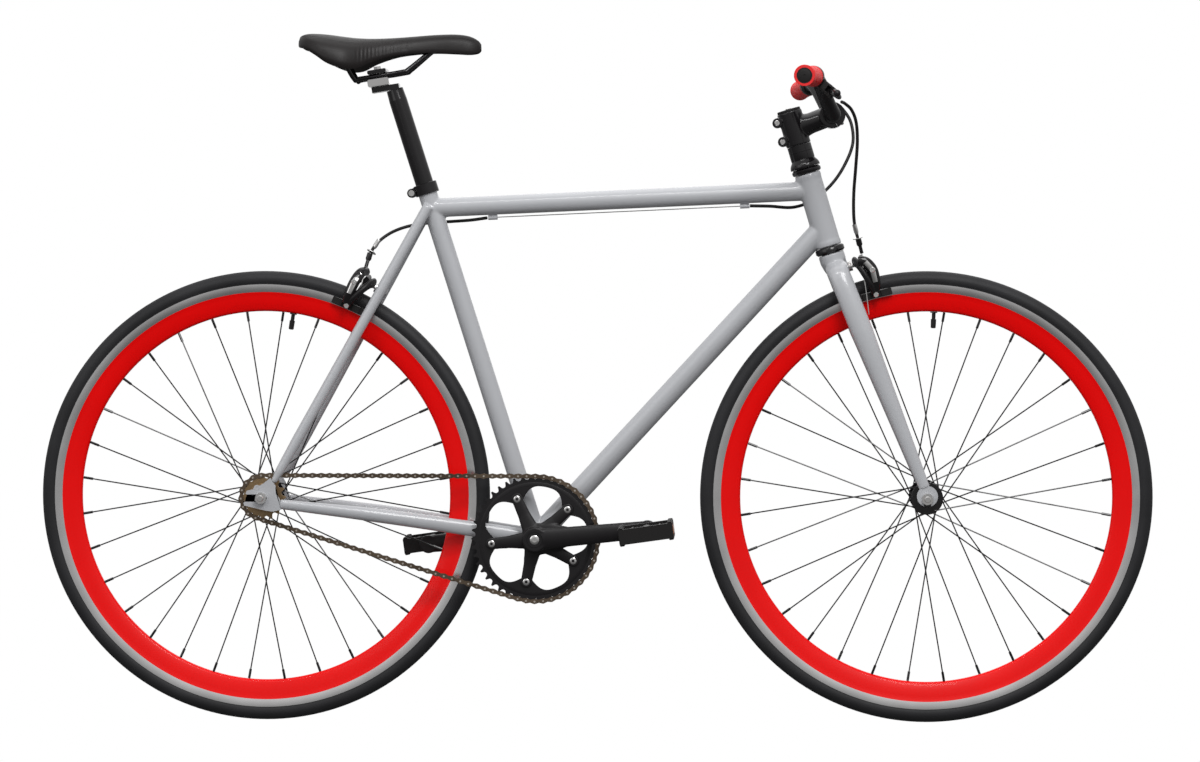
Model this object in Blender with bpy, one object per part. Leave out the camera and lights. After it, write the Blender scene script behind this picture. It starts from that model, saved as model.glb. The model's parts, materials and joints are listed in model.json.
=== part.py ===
"""Single-speed bicycle: steel frame, deep rims, riser bar, rim brakes. Metres, +X forward, +Z up, +Y left."""

import math

import bmesh
import bpy
from mathutils import Matrix, Vector

# Driving sizes: wheels
WHEELBASE = 0.9854
TYRE_RADIUS = 0.336
TYRE_WIDTH = 0.025
RIM_RADIUS = 0.3166
RIM_DEPTH = 0.0406
RIM_WIDTH = 0.022
RIM_LIP = 0.0016
RIM_WELL = 0.006
RING_STEPS = 48
SPOKES_A_SIDE = 16
SPOKE_CROSSES = 3
SPOKE_DIAMETER = 0.002
SPOKE_OFFSET = 0.0014
FLANGE_RADIUS = 0.024
FLANGE_THICKNESS = 0.0034
HUB_RADIUS = 0.014
AXLE_RADIUS = 0.0048
NUT_RADIUS = 0.0085
NUT_THICKNESS = 0.009
FRONT_SPACING = 0.100
REAR_SPACING = 0.120
FRONT_FLANGE_Y = 0.036
REAR_FLANGE_Y = 0.031

# Driving sizes: frame
SEAT_ANGLE = math.radians(17.6)
HEAD_ANGLE = math.radians(16.6)
BB_X = -0.087
BB_Z = 0.275
BB_WIDTH = 0.068
BB_RADIUS = 0.020
SPINDLE_RADIUS = 0.0080
SEAT_TUBE_LENGTH = 0.550
MAIN_TUBE_RADIUS = 0.0143
DOWN_TUBE_RADIUS = 0.0159
HEAD_TUBE_RADIUS = 0.0190
HEAD_TUBE_LENGTH = 0.113
HEAD_POINT = Vector((0.334, 0.0, 0.7553))
HEAD_BELOW = 0.049
STAY_RADIUS = 0.008
DROPOUT_THICKNESS = 0.005
SEATPOST_RADIUS = 0.0135
SEATPOST_SHOWN = 0.150
SEATPOST_HIDDEN = 0.150
SEATPOST_BORE = 0.0138

# Driving sizes: steering
STEERER_RADIUS = 0.0143
CUP_RADIUS = 0.0210
STEM_RADIUS = 0.0185
STEM_HEIGHT = 0.051
STEM_REACH = 0.0596
STEM_SPACER = 0.0350
BAR_RADIUS = 0.0111
BAR_CLAMP_RADIUS = 0.0127
BAR_HALF_WIDTH = 0.285
GRIP_LENGTH = 0.112
GRIP_RADIUS = 0.0145
BLADE_TOP_RADIUS = 0.0165
BLADE_TIP_RADIUS = 0.0085

# Driving sizes: drive
CHAINLINE = 0.042
CHAIN_PITCH = 0.0127
CHAINRING_TEETH = 46
SPROCKET_TEETH = 16
CHAIN_HALF_HEIGHT = 0.0040
CHAIN_WIDTH = 0.0072
CRANK_LENGTH = 0.168
CRANK_ANGLE = math.radians(5.5)
BOLT_CIRCLE_RADIUS = 0.065
SPIDER_FIRST_ANGLE = math.radians(42.3)
CRANK_Y = 0.058
PEDAL_LENGTH = 0.095

# Shared clearances
GAP = 0.0003
RUNNING = 0.0010
SIDES = 12

SEAT_AXIS = Vector((-math.sin(SEAT_ANGLE), 0.0, math.cos(SEAT_ANGLE)))
STEER_AXIS = Vector((-math.sin(HEAD_ANGLE), 0.0, math.cos(HEAD_ANGLE)))
REACH_AXIS = Vector((math.cos(HEAD_ANGLE), 0.0, math.sin(HEAD_ANGLE)))
BB = Vector((BB_X, 0.0, BB_Z))
REAR_AXLE = Vector((-WHEELBASE / 2, 0.0, TYRE_RADIUS))
FRONT_AXLE = Vector((WHEELBASE / 2, 0.0, TYRE_RADIUS))
SEAT_TOP = BB + SEAT_AXIS * SEAT_TUBE_LENGTH
HEAD_BOTTOM = HEAD_POINT - STEER_AXIS * HEAD_BELOW
HEAD_TOP = HEAD_BOTTOM + STEER_AXIS * HEAD_TUBE_LENGTH
SEAT_JOIN = SEAT_TOP - SEAT_AXIS * 0.035
HEAD_JOIN = HEAD_TOP - STEER_AXIS * 0.0265
DOWN_JOIN = HEAD_BOTTOM + STEER_AXIS * 0.030
STAY_END_Y = REAR_SPACING / 2 + DROPOUT_THICKNESS / 2
CHAINRING_PITCH_RADIUS = CHAIN_PITCH / (2 * math.sin(math.pi / CHAINRING_TEETH))
SPROCKET_PITCH_RADIUS = CHAIN_PITCH / (2 * math.sin(math.pi / SPROCKET_TEETH))
Y_AXIS = Vector((0.0, 1.0, 0.0))

COLOURS = {
    "frame_grey": ((0.52, 0.53, 0.56), 0.30, 0.0),
    "red_paint": ((0.80, 0.01, 0.01), 0.30, 0.0),
    "red_rubber": ((0.70, 0.02, 0.02), 0.60, 0.0),
    "tyre_rubber": ((0.03, 0.03, 0.03), 0.75, 0.0),
    "black_metal": ((0.015, 0.015, 0.017), 0.35, 0.6),
    "black_plastic": ((0.02, 0.02, 0.02), 0.55, 0.0),
    "black_leather": ((0.025, 0.022, 0.022), 0.60, 0.0),
    "chrome": ((0.80, 0.80, 0.80), 0.15, 1.0),
    "bronze": ((0.38, 0.25, 0.10), 0.40, 0.8),
}


def clear_scene():
    for obj in list(bpy.data.objects):
        bpy.data.objects.remove(obj, do_unlink=True)


def material(name):
    found = bpy.data.materials.get(name)
    if found:
        return found
    colour, roughness, metallic = COLOURS[name]
    made = bpy.data.materials.new(name)
    made.use_nodes = True
    shader = made.node_tree.nodes["Principled BSDF"]
    shader.inputs["Base Color"].default_value = (*colour, 1.0)
    shader.inputs["Roughness"].default_value = roughness
    shader.inputs["Metallic"].default_value = metallic
    return made


def finish(name, bm, colour, origin=None):
    """Turns a bmesh in world coordinates into an object whose origin lies at the given point."""
    bmesh.ops.recalc_face_normals(bm, faces=bm.faces)
    if origin is not None:
        bmesh.ops.translate(bm, vec=-Vector(origin), verts=bm.verts)
    mesh = bpy.data.meshes.new(name)
    bm.to_mesh(mesh)
    bm.free()
    mesh.shade_smooth()
    mesh.set_sharp_from_angle(angle=math.radians(35))
    mesh.materials.append(material(colour))
    obj = bpy.data.objects.new(name, mesh)
    if origin is not None:
        obj.location = origin
    bpy.context.scene.collection.objects.link(obj)
    return obj


def helper(obj):
    obj.hide_render = True
    obj.display_type = "WIRE"
    return obj


def boolean(obj, other, operation):
    helper(other)
    modifier = obj.modifiers.new(operation.lower(), "BOOLEAN")
    modifier.operation = operation
    modifier.solver = "EXACT"
    modifier.object = other
    return obj


def unite(obj, *others):
    for other in others:
        boolean(obj, other, "UNION")
    return obj


def cut(obj, *others):
    for other in others:
        boolean(obj, other, "DIFFERENCE")
    return obj


def frames_along(points, side):
    """A tangent, a side and an up direction at each point of a path."""
    found = []
    for i, _ in enumerate(points):
        before = points[max(i - 1, 0)]
        after = points[min(i + 1, len(points) - 1)]
        tangent = (after - before).normalized()
        across = (side - tangent * side.dot(tangent)).normalized()
        found.append((tangent, across, tangent.cross(across)))
    return found


def ring(bm, centre, across, up, wide, high, sides, turn=0.5):
    return [
        bm.verts.new(
            centre
            + across * (wide * math.cos(2 * math.pi * (k + turn) / sides))
            + up * (high * math.sin(2 * math.pi * (k + turn) / sides))
        )
        for k in range(sides)
    ]


def bridge(bm, low, high):
    for k, _ in enumerate(low):
        n = (k + 1) % len(low)
        bm.faces.new((low[k], low[n], high[n], high[k]))


def tube(name, points, sizes, colour, side=Y_AXIS, sides=SIDES, bore=0.0, origin=None):
    """A round or oval tube through points: sizes holds (half width along side, half height) for each."""
    points = [Vector(p) for p in points]
    sizes = [s if isinstance(s, tuple) else (s, s) for s in sizes]
    bm = bmesh.new()
    outer, inner = [], []
    for point, size, (_, across, up) in zip(points, sizes, frames_along(points, Vector(side))):
        outer.append(ring(bm, point, across, up, size[0], size[1], sides))
        if bore:
            inner.append(ring(bm, point, across, up, bore, bore, sides))
    for low, high in zip(outer, outer[1:]):
        bridge(bm, low, high)
    for low, high in zip(inner, inner[1:]):
        bridge(bm, high, low)
    if bore:
        bridge(bm, inner[0], outer[0])
        bridge(bm, outer[-1], inner[-1])
    else:
        bm.faces.new(outer[0])
        bm.faces.new(outer[-1])
    return finish(name, bm, colour, origin)


def cylinder(name, start, end, radius, colour="black_metal", sides=SIDES, bore=0.0, origin=None):
    start, end = Vector(start), Vector(end)
    side = Y_AXIS if abs((end - start).normalized().y) < 0.9 else Vector((1.0, 0.0, 0.0))
    return tube(name, [start, end], [radius, radius], colour, side, sides, bore, origin)


def turned(name, centre, axis, profile, colour, steps=SIDES, hollow=False):
    """Turns (radius, distance along axis) points about the axis: hollow profiles close on themselves."""
    centre, axis = Vector(centre), Vector(axis).normalized()
    side = Y_AXIS if abs(axis.y) < 0.9 else Vector((0.0, 0.0, 1.0))
    across = (side - axis * side.dot(axis)).normalized()
    up = axis.cross(across)
    bm = bmesh.new()
    rings = [ring(bm, centre + axis * t, across, up, r, r, steps) for r, t in profile]
    for low, high in zip(rings, rings[1:]):
        bridge(bm, low, high)
    if hollow:
        bridge(bm, rings[-1], rings[0])
    else:
        bm.faces.new(rings[0])
        bm.faces.new(rings[-1])
    return finish(name, bm, colour, centre)


def plate(name, outline, y_low, y_high, colour, origin=None):
    """Extrudes an outline of (x, z) points from y_low to y_high."""
    bm = bmesh.new()
    low = [bm.verts.new((x, y_low, z)) for x, z in outline]
    high = [bm.verts.new((x, y_high, z)) for x, z in outline]
    bm.faces.new(low)
    bm.faces.new(high)
    bridge(bm, low, high)
    return finish(name, bm, colour, origin)


def block(name, centre, along, across, half, colour, origin=None):
    """A box with half sizes along, across and up, where up is square to the other two."""
    centre, along, across = Vector(centre), Vector(along).normalized(), Vector(across).normalized()
    up = along.cross(across)
    bm = bmesh.new()
    bmesh.ops.create_cube(bm, size=2.0)
    turn = Matrix((along * half[0], across * half[1], up * half[2])).transposed().to_4x4()
    bmesh.ops.transform(bm, matrix=Matrix.Translation(centre) @ turn, verts=bm.verts)
    return finish(name, bm, colour, origin)


def circle_points(x, z, radius, steps, first=0.0, turn=2 * math.pi):
    return [
        (x + radius * math.cos(first + turn * k / steps), z + radius * math.sin(first + turn * k / steps))
        for k in range(steps)
    ]


def fat(name, start, end, radius):
    """A cutter round a neighbour's axis, a gap larger than the neighbour."""
    start, end = Vector(start), Vector(end)
    more = (end - start).normalized() * 0.004
    return cylinder(name, start - more, end + more, (radius + GAP) / math.cos(math.pi / SIDES))


def main_triangle():
    grey = "frame_grey"
    cylinder("head_tube", HEAD_BOTTOM, HEAD_TOP, HEAD_TUBE_RADIUS, grey, bore=STEERER_RADIUS + RUNNING)
    seat_tube = cylinder(
        "seat_tube", BB + SEAT_AXIS * 0.016, SEAT_TOP, MAIN_TUBE_RADIUS, grey, bore=SEATPOST_BORE
    )
    cut(seat_tube, fat("seat_tube_shell_cut", BB - Y_AXIS * 0.05, BB + Y_AXIS * 0.05, BB_RADIUS))
    cylinder(
        "bottom_bracket_shell", BB - Y_AXIS * BB_WIDTH / 2, BB + Y_AXIS * BB_WIDTH / 2, BB_RADIUS, grey,
        bore=SPINDLE_RADIUS + RUNNING,
    )
    top_tube = cylinder("top_tube", SEAT_JOIN, HEAD_JOIN, MAIN_TUBE_RADIUS, grey)
    cut(top_tube, fat("top_tube_seat_cut", BB, SEAT_TOP, MAIN_TUBE_RADIUS))
    cut(top_tube, fat("top_tube_head_cut", HEAD_BOTTOM, HEAD_TOP, HEAD_TUBE_RADIUS))
    down_tube = cylinder(
        "down_tube", BB + (DOWN_JOIN - BB).normalized() * 0.012, DOWN_JOIN, DOWN_TUBE_RADIUS, grey
    )
    cut(down_tube, fat("down_tube_head_cut", HEAD_BOTTOM, HEAD_TOP, HEAD_TUBE_RADIUS))
    cut(down_tube, fat("down_tube_shell_cut", BB - Y_AXIS * 0.05, BB + Y_AXIS * 0.05, BB_RADIUS))
    cut(down_tube, fat("down_tube_seat_cut", BB, SEAT_TOP, MAIN_TUBE_RADIUS))


def dropout(name, sign):
    """A rear-opening plate: two tongues round the axle slot, an eyelet, and roots for both stays."""
    x, z = REAR_AXLE.x, REAR_AXLE.z
    slot = AXLE_RADIUS + 0.0006
    outline = [
        (x + 0.030, z - 0.017), (x + 0.028, z - 0.002), (x + 0.022, z + 0.008), (x + 0.0215, z + 0.018),
        (x + 0.014, z + 0.030), (x + 0.004, z + 0.022), (x - 0.002, z + 0.0185), (x - 0.008, z + 0.0190),
        (x - 0.012, z + 0.0130), (x - 0.021, z + 0.0110), (x - 0.023, z + slot + 0.001),
        (x - 0.021, z + slot),
        (x + 0.004, z + slot), (x + 0.0075, z + slot * 0.7), (x + 0.0090, z),
        (x + 0.0075, z - slot * 0.7),
        (x + 0.004, z - slot), (x - 0.024, z - slot), (x - 0.026, z - slot - 0.002),
        (x - 0.025, z - 0.011),
        (x + 0.006, z - 0.0185), (x + 0.018, z - 0.020),
    ]
    inner = sign * REAR_SPACING / 2
    outer = sign * (REAR_SPACING / 2 + DROPOUT_THICKNESS)
    plate(name, outline, min(inner, outer), max(inner, outer), "frame_grey")


def stay_top(sign):
    return SEAT_TOP - SEAT_AXIS * 0.032 + Vector((-0.004, sign * 0.014, 0.0))


def stay_foot(sign):
    return REAR_AXLE + Vector((0.0185, sign * STAY_END_Y, 0.0235))


def stays():
    for word, sign in (("right", -1), ("left", 1)):
        dropout(f"dropout_{word}", sign)
        drop_cut = block(
            f"dropout_{word}_stay_cut", REAR_AXLE + Vector((0.010, sign * STAY_END_Y, 0.003)), (1, 0, 0),
            Y_AXIS,
            (0.0225, DROPOUT_THICKNESS / 2 + GAP, 0.0290), "frame_grey",
        )
        path = [
            BB + Vector((-0.012, sign * 0.022, 0.001)), BB + Vector((-0.070, sign * 0.0265, 0.010)),
            BB + Vector((-0.120, sign * 0.0300, 0.0175)), BB + Vector((-0.240, sign * 0.0450, 0.0350)),
            REAR_AXLE + Vector((0.028, sign * STAY_END_Y, -0.0090)),
        ]
        sizes = [(0.008, 0.0120), (0.0070, 0.0120), (0.0075, 0.0115), (0.009, 0.0105), (0.0065, 0.0075)]
        stay = tube(f"chainstay_{word}", path, sizes, "frame_grey")
        cut(
            stay, fat(f"chainstay_{word}_shell_cut", BB - Y_AXIS * 0.05, BB + Y_AXIS * 0.05, BB_RADIUS),
            drop_cut
        )
        top, foot = stay_top(sign), stay_foot(sign)
        stay = tube(
            f"seatstay_{word}", [top, top.lerp(foot, 0.85), foot], [STAY_RADIUS, STAY_RADIUS, 0.0065],
            "frame_grey"
        )
        cut(stay, fat(f"seatstay_{word}_tube_cut", BB, SEAT_TOP, MAIN_TUBE_RADIUS), drop_cut)
        plane = block(
            f"seatstay_{word}_half_cut", top + Vector((0.0, -sign * 0.05, 0.0)), (1, 0, 0), Y_AXIS,
            (0.05, 0.05 - 0.014 + GAP, 0.05), "frame_grey",
        )
        cut(stay, plane)


def stay_at(sign, share):
    """A point on a seatstay's axis, share 0 at its top and 1 at its foot."""
    return stay_top(sign).lerp(stay_foot(sign), share)


BRIDGE_SHARE = 0.310
BRIDGE = (stay_at(1, BRIDGE_SHARE) + stay_at(-1, BRIDGE_SHARE)) / 2


def small_frame_parts():
    left, right = stay_at(1, BRIDGE_SHARE), stay_at(-1, BRIDGE_SHARE)
    bridge_tube = cylinder("brake_bridge", right, left, 0.0065, "frame_grey")
    for word, sign in (("right", -1), ("left", 1)):
        cut(bridge_tube, fat(f"bridge_{word}_cut", stay_at(sign, 0.2), stay_at(sign, 0.4), STAY_RADIUS))
    clamp_low = SEAT_TOP - SEAT_AXIS * 0.013
    clamp_high = SEAT_TOP + SEAT_AXIS * 0.003
    inner = MAIN_TUBE_RADIUS / math.cos(math.pi / SIDES) + GAP
    clamp = cylinder("seat_clamp", clamp_low, clamp_high, inner + 0.0028, "black_metal", bore=inner)
    back = Vector((-math.cos(SEAT_ANGLE), 0.0, -math.sin(SEAT_ANGLE)))
    ear = block(
        "seat_clamp_ear", clamp_low.lerp(clamp_high, 0.5) + back * (inner + 0.0085), back, Y_AXIS,
        (0.0075, 0.0065, 0.0060), "black_metal",
    )
    unite(clamp, ear)
    ring_bore = STEERER_RADIUS + RUNNING
    turned(
        "headset_lower_cup", HEAD_BOTTOM, -STEER_AXIS,
        [
            (ring_bore, GAP), (0.0195, GAP), (CUP_RADIUS + 0.0012, 0.003), (CUP_RADIUS + 0.0012, 0.008),
            (0.0195, 0.0105), (ring_bore, 0.0105)
        ],
        "black_metal", hollow=True,
    )
    turned(
        "headset_upper_cup", HEAD_TOP, STEER_AXIS,
        [
            (ring_bore, GAP), (0.0195, GAP), (CUP_RADIUS + 0.0016, 0.002), (CUP_RADIUS + 0.0016, 0.007),
            (0.0195, 0.009), (ring_bore, 0.009)
        ],
        "black_metal", hollow=True,
    )
    for word, along in (("front", 0.800), ("rear", 0.1373)):
        axis = (HEAD_JOIN - SEAT_JOIN).normalized()
        down = Vector((axis.z, 0.0, -axis.x))
        place = SEAT_JOIN.lerp(HEAD_JOIN, along) + axis * 0.012 + down * (MAIN_TUBE_RADIUS + GAP + 0.0035)
        block(f"cable_stop_{word}", place, axis, Y_AXIS, (0.007, 0.0035, 0.0035), "frame_grey")


def ring_radius(radius):
    """A faceted ring's vertex radius, so that its facets stand at the true radius."""
    return radius / math.cos(math.pi / RING_STEPS)


def closed_ring(name, centre, section, colour):
    """Turns a closed (radius, y) section about the wheel's axis, with a flat facet at the bottom."""
    bm = bmesh.new()
    count = RING_STEPS
    loops = []
    for radius, y in section:
        r = ring_radius(radius)
        turns = [2 * math.pi * (k + 0.5) / count - math.pi / 2 for k in range(count)]
        loops.append(
            [bm.verts.new(centre + Vector((r * math.cos(t), y, r * math.sin(t)))) for t in turns]
        )
    for low, high in zip(loops, loops[1:] + loops[:1]):
        bridge(bm, low, high)
    return finish(name, bm, colour, centre)


def tyre(name, centre):
    half = TYRE_WIDTH / 2
    seat = RIM_WIDTH / 2 - RIM_LIP - GAP
    lip = RIM_RADIUS + GAP
    base = RIM_RADIUS - RIM_WELL + GAP
    section = [
        (base, -seat), (lip, -seat), (lip + 0.001, -RIM_WIDTH / 2), (TYRE_RADIUS - half * 0.85, -half),
        (TYRE_RADIUS - half * 0.32, -half * 0.80), (TYRE_RADIUS, -half * 0.22),
        (TYRE_RADIUS, half * 0.22),
        (TYRE_RADIUS - half * 0.32, half * 0.80), (TYRE_RADIUS - half * 0.85, half),
        (lip + 0.001, RIM_WIDTH / 2),
        (lip, seat), (base, seat),
    ]
    return closed_ring(name, centre, section, "tyre_rubber")


def rim(name, centre):
    half = RIM_WIDTH / 2
    inner = RIM_RADIUS - RIM_DEPTH
    section = [
        (RIM_RADIUS, -half), (RIM_RADIUS - 0.0125, -half), (inner + 0.004, -0.0055), (inner, -0.0025),
        (inner, 0.0025), (inner + 0.004, 0.0055), (RIM_RADIUS - 0.0125, half), (RIM_RADIUS, half),
        (RIM_RADIUS, half - RIM_LIP), (RIM_RADIUS - RIM_WELL, half - RIM_LIP),
        (RIM_RADIUS - RIM_WELL, -half + RIM_LIP), (RIM_RADIUS, -half + RIM_LIP),
    ]
    return closed_ring(name, centre, section, "red_paint")


def spoke_side(name, centre, sign, flange_y, first):
    """A hub flange with its spokes: heads in lean one way, heads out the other."""
    axis = Y_AXIS * sign
    flange = turned(
        name, centre, axis,
        [
            (HUB_RADIUS + GAP, flange_y), (FLANGE_RADIUS, flange_y),
            (FLANGE_RADIUS, flange_y + FLANGE_THICKNESS), (HUB_RADIUS + GAP, flange_y + FLANGE_THICKNESS)
        ],
        "black_metal", steps=24, hollow=True,
    )
    reach = RIM_RADIUS - RIM_DEPTH - GAP
    hole = FLANGE_RADIUS - 0.0035
    lead = 2 * math.pi * SPOKE_CROSSES / SPOKES_A_SIDE
    rods = bmesh.new()
    for k in range(SPOKES_A_SIDE):
        lean = 1 if k % 2 else -1
        start_turn = first + 2 * math.pi * k / SPOKES_A_SIDE
        end_turn = start_turn + lean * lead
        y = flange_y + FLANGE_THICKNESS / 2 + lean * SPOKE_OFFSET
        start = centre + Vector((hole * math.cos(start_turn), sign * y, hole * math.sin(start_turn)))
        end = centre + Vector((reach * math.cos(end_turn), sign * 0.0012, reach * math.sin(end_turn)))
        points = [start, end]
        loops = [
            ring(rods, p, across, up, SPOKE_DIAMETER / 2, SPOKE_DIAMETER / 2, 4)
            for p, (_, across, up) in zip(points, frames_along(points, Y_AXIS))
        ]
        bridge(rods, loops[0], loops[1])
        rods.faces.new(loops[0])
        rods.faces.new(loops[1])
    unite(flange, finish(f"{name}_rods", rods, "black_metal", centre))


def wheel(word, centre, flange_y, spacing):
    tyre(f"{word}_tyre", centre)
    rim(f"{word}_rim", centre)
    spoke_side(f"{word}_spokes_right", centre, -1, flange_y, 0.10)
    spoke_side(f"{word}_spokes_left", centre, 1, flange_y, 0.10 + math.pi / SPOKES_A_SIDE)
    end = spacing / 2 - 0.006
    turned(
        f"{word}_hub", centre, Y_AXIS,
        [
            (AXLE_RADIUS + RUNNING, -end), (HUB_RADIUS, -end), (HUB_RADIUS, end),
            (AXLE_RADIUS + RUNNING, end)
        ],
        "black_metal", steps=20, hollow=True,
    )
    past = spacing / 2 + DROPOUT_THICKNESS + GAP
    far = past + NUT_THICKNESS
    turned(
        f"{word}_axle", centre, Y_AXIS,
        [
            (AXLE_RADIUS, -far - 0.004), (AXLE_RADIUS, -far), (NUT_RADIUS, -far), (NUT_RADIUS, -past),
            (AXLE_RADIUS, -past),
            (AXLE_RADIUS, past), (NUT_RADIUS, past), (NUT_RADIUS, far), (AXLE_RADIUS, far),
            (AXLE_RADIUS, far + 0.004),
        ],
        "chrome", steps=12,
    )


def steer_point(along, reach=0.0, y=0.0):
    """A point by its height over the head tube's bottom along the steering axis, its reach and its y."""
    return HEAD_BOTTOM + STEER_AXIS * along + REACH_AXIS * reach + Y_AXIS * y


CUP_HEIGHT = 0.0105
UPPER_CUP_HEIGHT = 0.009
COVER_BASE = HEAD_TUBE_LENGTH + UPPER_CUP_HEIGHT + GAP
STEM_BASE = COVER_BASE + STEM_SPACER
STEM_TOP = STEM_BASE + STEM_HEIGHT
BAR_CENTRE = steer_point(STEM_BASE + STEM_HEIGHT * 0.55, STEM_REACH)
FORK_BRAKE = steer_point(-CUP_HEIGHT - 0.0265)


def fork():
    """Steerer, crown and two straight blades that lean forward to the dropouts."""
    top = STEM_TOP - 0.003
    body = cylinder(
        "fork", steer_point(
            -CUP_HEIGHT - 0.018
        ), steer_point(top), STEERER_RADIUS - 0.0002, "frame_grey", origin=HEAD_BOTTOM
    )
    race = -CUP_HEIGHT - GAP
    crown = turned(
        "fork_crown", HEAD_BOTTOM, STEER_AXIS,
        [(0.0180, race - 0.030), (0.0195, race - 0.026), (0.0195, race)], "frame_grey", steps=SIDES,
    )
    unite(body, crown)
    for word, sign in (("right", -1), ("left", 1)):
        axle_y = sign * (FRONT_SPACING / 2 + DROPOUT_THICKNESS / 2)
        foot = FRONT_AXLE + Vector((-0.004, axle_y, 0.016))
        shoulder = steer_point(race - 0.020, 0.001, sign * 0.012)
        outer = steer_point(race - 0.040, 0.003, sign * 0.032)
        knee = outer.lerp(foot, 0.25) + Y_AXIS * (sign * 0.004)
        blade = tube(
            f"fork_blade_{word}", [shoulder, outer, knee, outer.lerp(foot, 0.6), foot],
            [
                (0.010, 0.0165), (0.0105, BLADE_TOP_RADIUS), (0.0105, BLADE_TOP_RADIUS), (0.009, 0.0125),
                (0.0065, BLADE_TIP_RADIUS)
            ],
            "frame_grey",
        )
        unite(body, blade)
        tip = plate(
            f"fork_tip_{word}", circle_points(FRONT_AXLE.x, FRONT_AXLE.z + 0.004, 0.0155, 16),
            axle_y - DROPOUT_THICKNESS / 2, axle_y + DROPOUT_THICKNESS / 2, "frame_grey",
        )
        unite(body, tip)
    slot = block(
        "fork_slot_cut", FRONT_AXLE - Vector((0, 0, 0.012)), (1, 0, 0), Y_AXIS,
        (AXLE_RADIUS + 0.0004, 0.1, 0.012 + AXLE_RADIUS + 0.0004), "frame_grey",
    )
    tyre_room = closed_ring(
        "fork_tyre_cut", FRONT_AXLE,
        [(0.20, -0.0175), (TYRE_RADIUS + 0.004, -0.0175), (TYRE_RADIUS + 0.004, 0.0175), (0.20, 0.0175)],
        "frame_grey",
    )
    cut(body, slot, tyre_room)


def cockpit():
    black = "black_metal"
    bore = STEERER_RADIUS + GAP
    turned(
        "headset_cover", steer_point(COVER_BASE), STEER_AXIS,
        [
            (bore, 0), (0.0225, 0), (0.0225, 0.004), (STEM_RADIUS - 0.001, 0.011),
            (STEM_RADIUS - 0.001, STEM_SPACER - GAP), (bore, STEM_SPACER - GAP)
        ],
        black, hollow=True,
    )
    stem = turned(
        "stem", steer_point(STEM_BASE), STEER_AXIS,
        [(bore, 0), (STEM_RADIUS, 0), (STEM_RADIUS, STEM_HEIGHT), (bore, STEM_HEIGHT)], black,
        hollow=True,
    )
    middle = STEM_BASE + STEM_HEIGHT * 0.55
    reach = tube(
        "stem_reach", [steer_point(middle - 0.003, 0.016), steer_point(middle, STEM_REACH - 0.010)],
        [(0.015, 0.019), (0.018, 0.015)], black,
    )
    clamp = cylinder(
        "stem_bar_clamp", BAR_CENTRE - Y_AXIS * 0.021, BAR_CENTRE + Y_AXIS * 0.021, 0.0195, black
    )
    bar_hole = cylinder(
        "stem_bar_cut", BAR_CENTRE - Y_AXIS * 0.05, BAR_CENTRE + Y_AXIS * 0.05,
        (BAR_CLAMP_RADIUS + GAP) / math.cos(math.pi / SIDES)
    )
    front_cut = block(
        "stem_front_cut", BAR_CENTRE + REACH_AXIS * 0.0515, REACH_AXIS, Y_AXIS, (0.050, 0.05, 0.05), black
    )
    for place, height in (("upper", STEM_HEIGHT - 0.011), ("lower", 0.011)):
        ear = cylinder(
            f"stem_ear_{place}", steer_point(STEM_BASE + height, -STEM_RADIUS - 0.004, -0.011),
            steer_point(STEM_BASE + height, -STEM_RADIUS - 0.004, 0.011), 0.0075, black, sides=12,
        )
        unite(stem, ear)
    unite(stem, reach, clamp)
    cut(
        stem, bar_hole, front_cut,
        cylinder(
            "stem_steerer_cut", steer_point(STEM_BASE - 0.01), steer_point(STEM_TOP + 0.01),
            bore / math.cos(math.pi / SIDES)
        )
    )
    face = cylinder(
        "stem_faceplate", BAR_CENTRE - Y_AXIS * 0.021, BAR_CENTRE + Y_AXIS * 0.021, 0.0195, black
    )
    back_cut = block(
        "faceplate_back_cut", BAR_CENTRE - REACH_AXIS * 0.0475, REACH_AXIS, Y_AXIS, (0.050, 0.05, 0.05),
        black
    )
    hole = cylinder(
        "faceplate_bar_cut", BAR_CENTRE - Y_AXIS * 0.05, BAR_CENTRE + Y_AXIS * 0.05,
        (BAR_CLAMP_RADIUS + GAP) / math.cos(math.pi / SIDES)
    )
    cut(face, back_cut, hole)
    turned(
        "stem_top_cap", steer_point(STEM_TOP + GAP), STEER_AXIS,
        [(STEM_RADIUS - 0.001, 0), (STEM_RADIUS - 0.001, 0.003), (STEM_RADIUS - 0.004, 0.0045)], black,
    )


def bar_route():
    """The riser bar's axis from its left end to its right end."""
    half = [
        BAR_CENTRE, BAR_CENTRE + Vector((0, 0.036, 0)), BAR_CENTRE + Vector((-0.003, 0.050, 0.006)),
        BAR_CENTRE + Vector((-0.0190, 0.096, 0.0410)), BAR_CENTRE + Vector((-0.0250, 0.118, 0.0500)),
        BAR_CENTRE + Vector((-0.0285, 0.150, 0.0515)),
        BAR_CENTRE + Vector((-0.0445, BAR_HALF_WIDTH, 0.0475)),
    ]
    return [Vector((p.x, -p.y, p.z)) for p in reversed(half)] + half[1:]


def bar_point(y):
    """A point on the bar's grip stretch at the given y."""
    half = BAR_CENTRE + Vector((-0.0285, 0.150, 0.0515))
    end = BAR_CENTRE + Vector((-0.0445, BAR_HALF_WIDTH, 0.0475))
    share = (abs(y) - half.y) / (end.y - half.y)
    found = half.lerp(end, share)
    return Vector((found.x, y, found.z))


LEVER_DROP = Vector((0.76, 0.0, -0.65)).normalized()
LEVER_NORMAL = Vector((0.65, 0.0, 0.76)).normalized()
PERCH_Y = 0.162
LEVER_ROOM = 0.0105
LEVER_PIVOT = bar_point(PERCH_Y) + LEVER_DROP * 0.034 + Y_AXIS * (-0.012)


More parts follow.
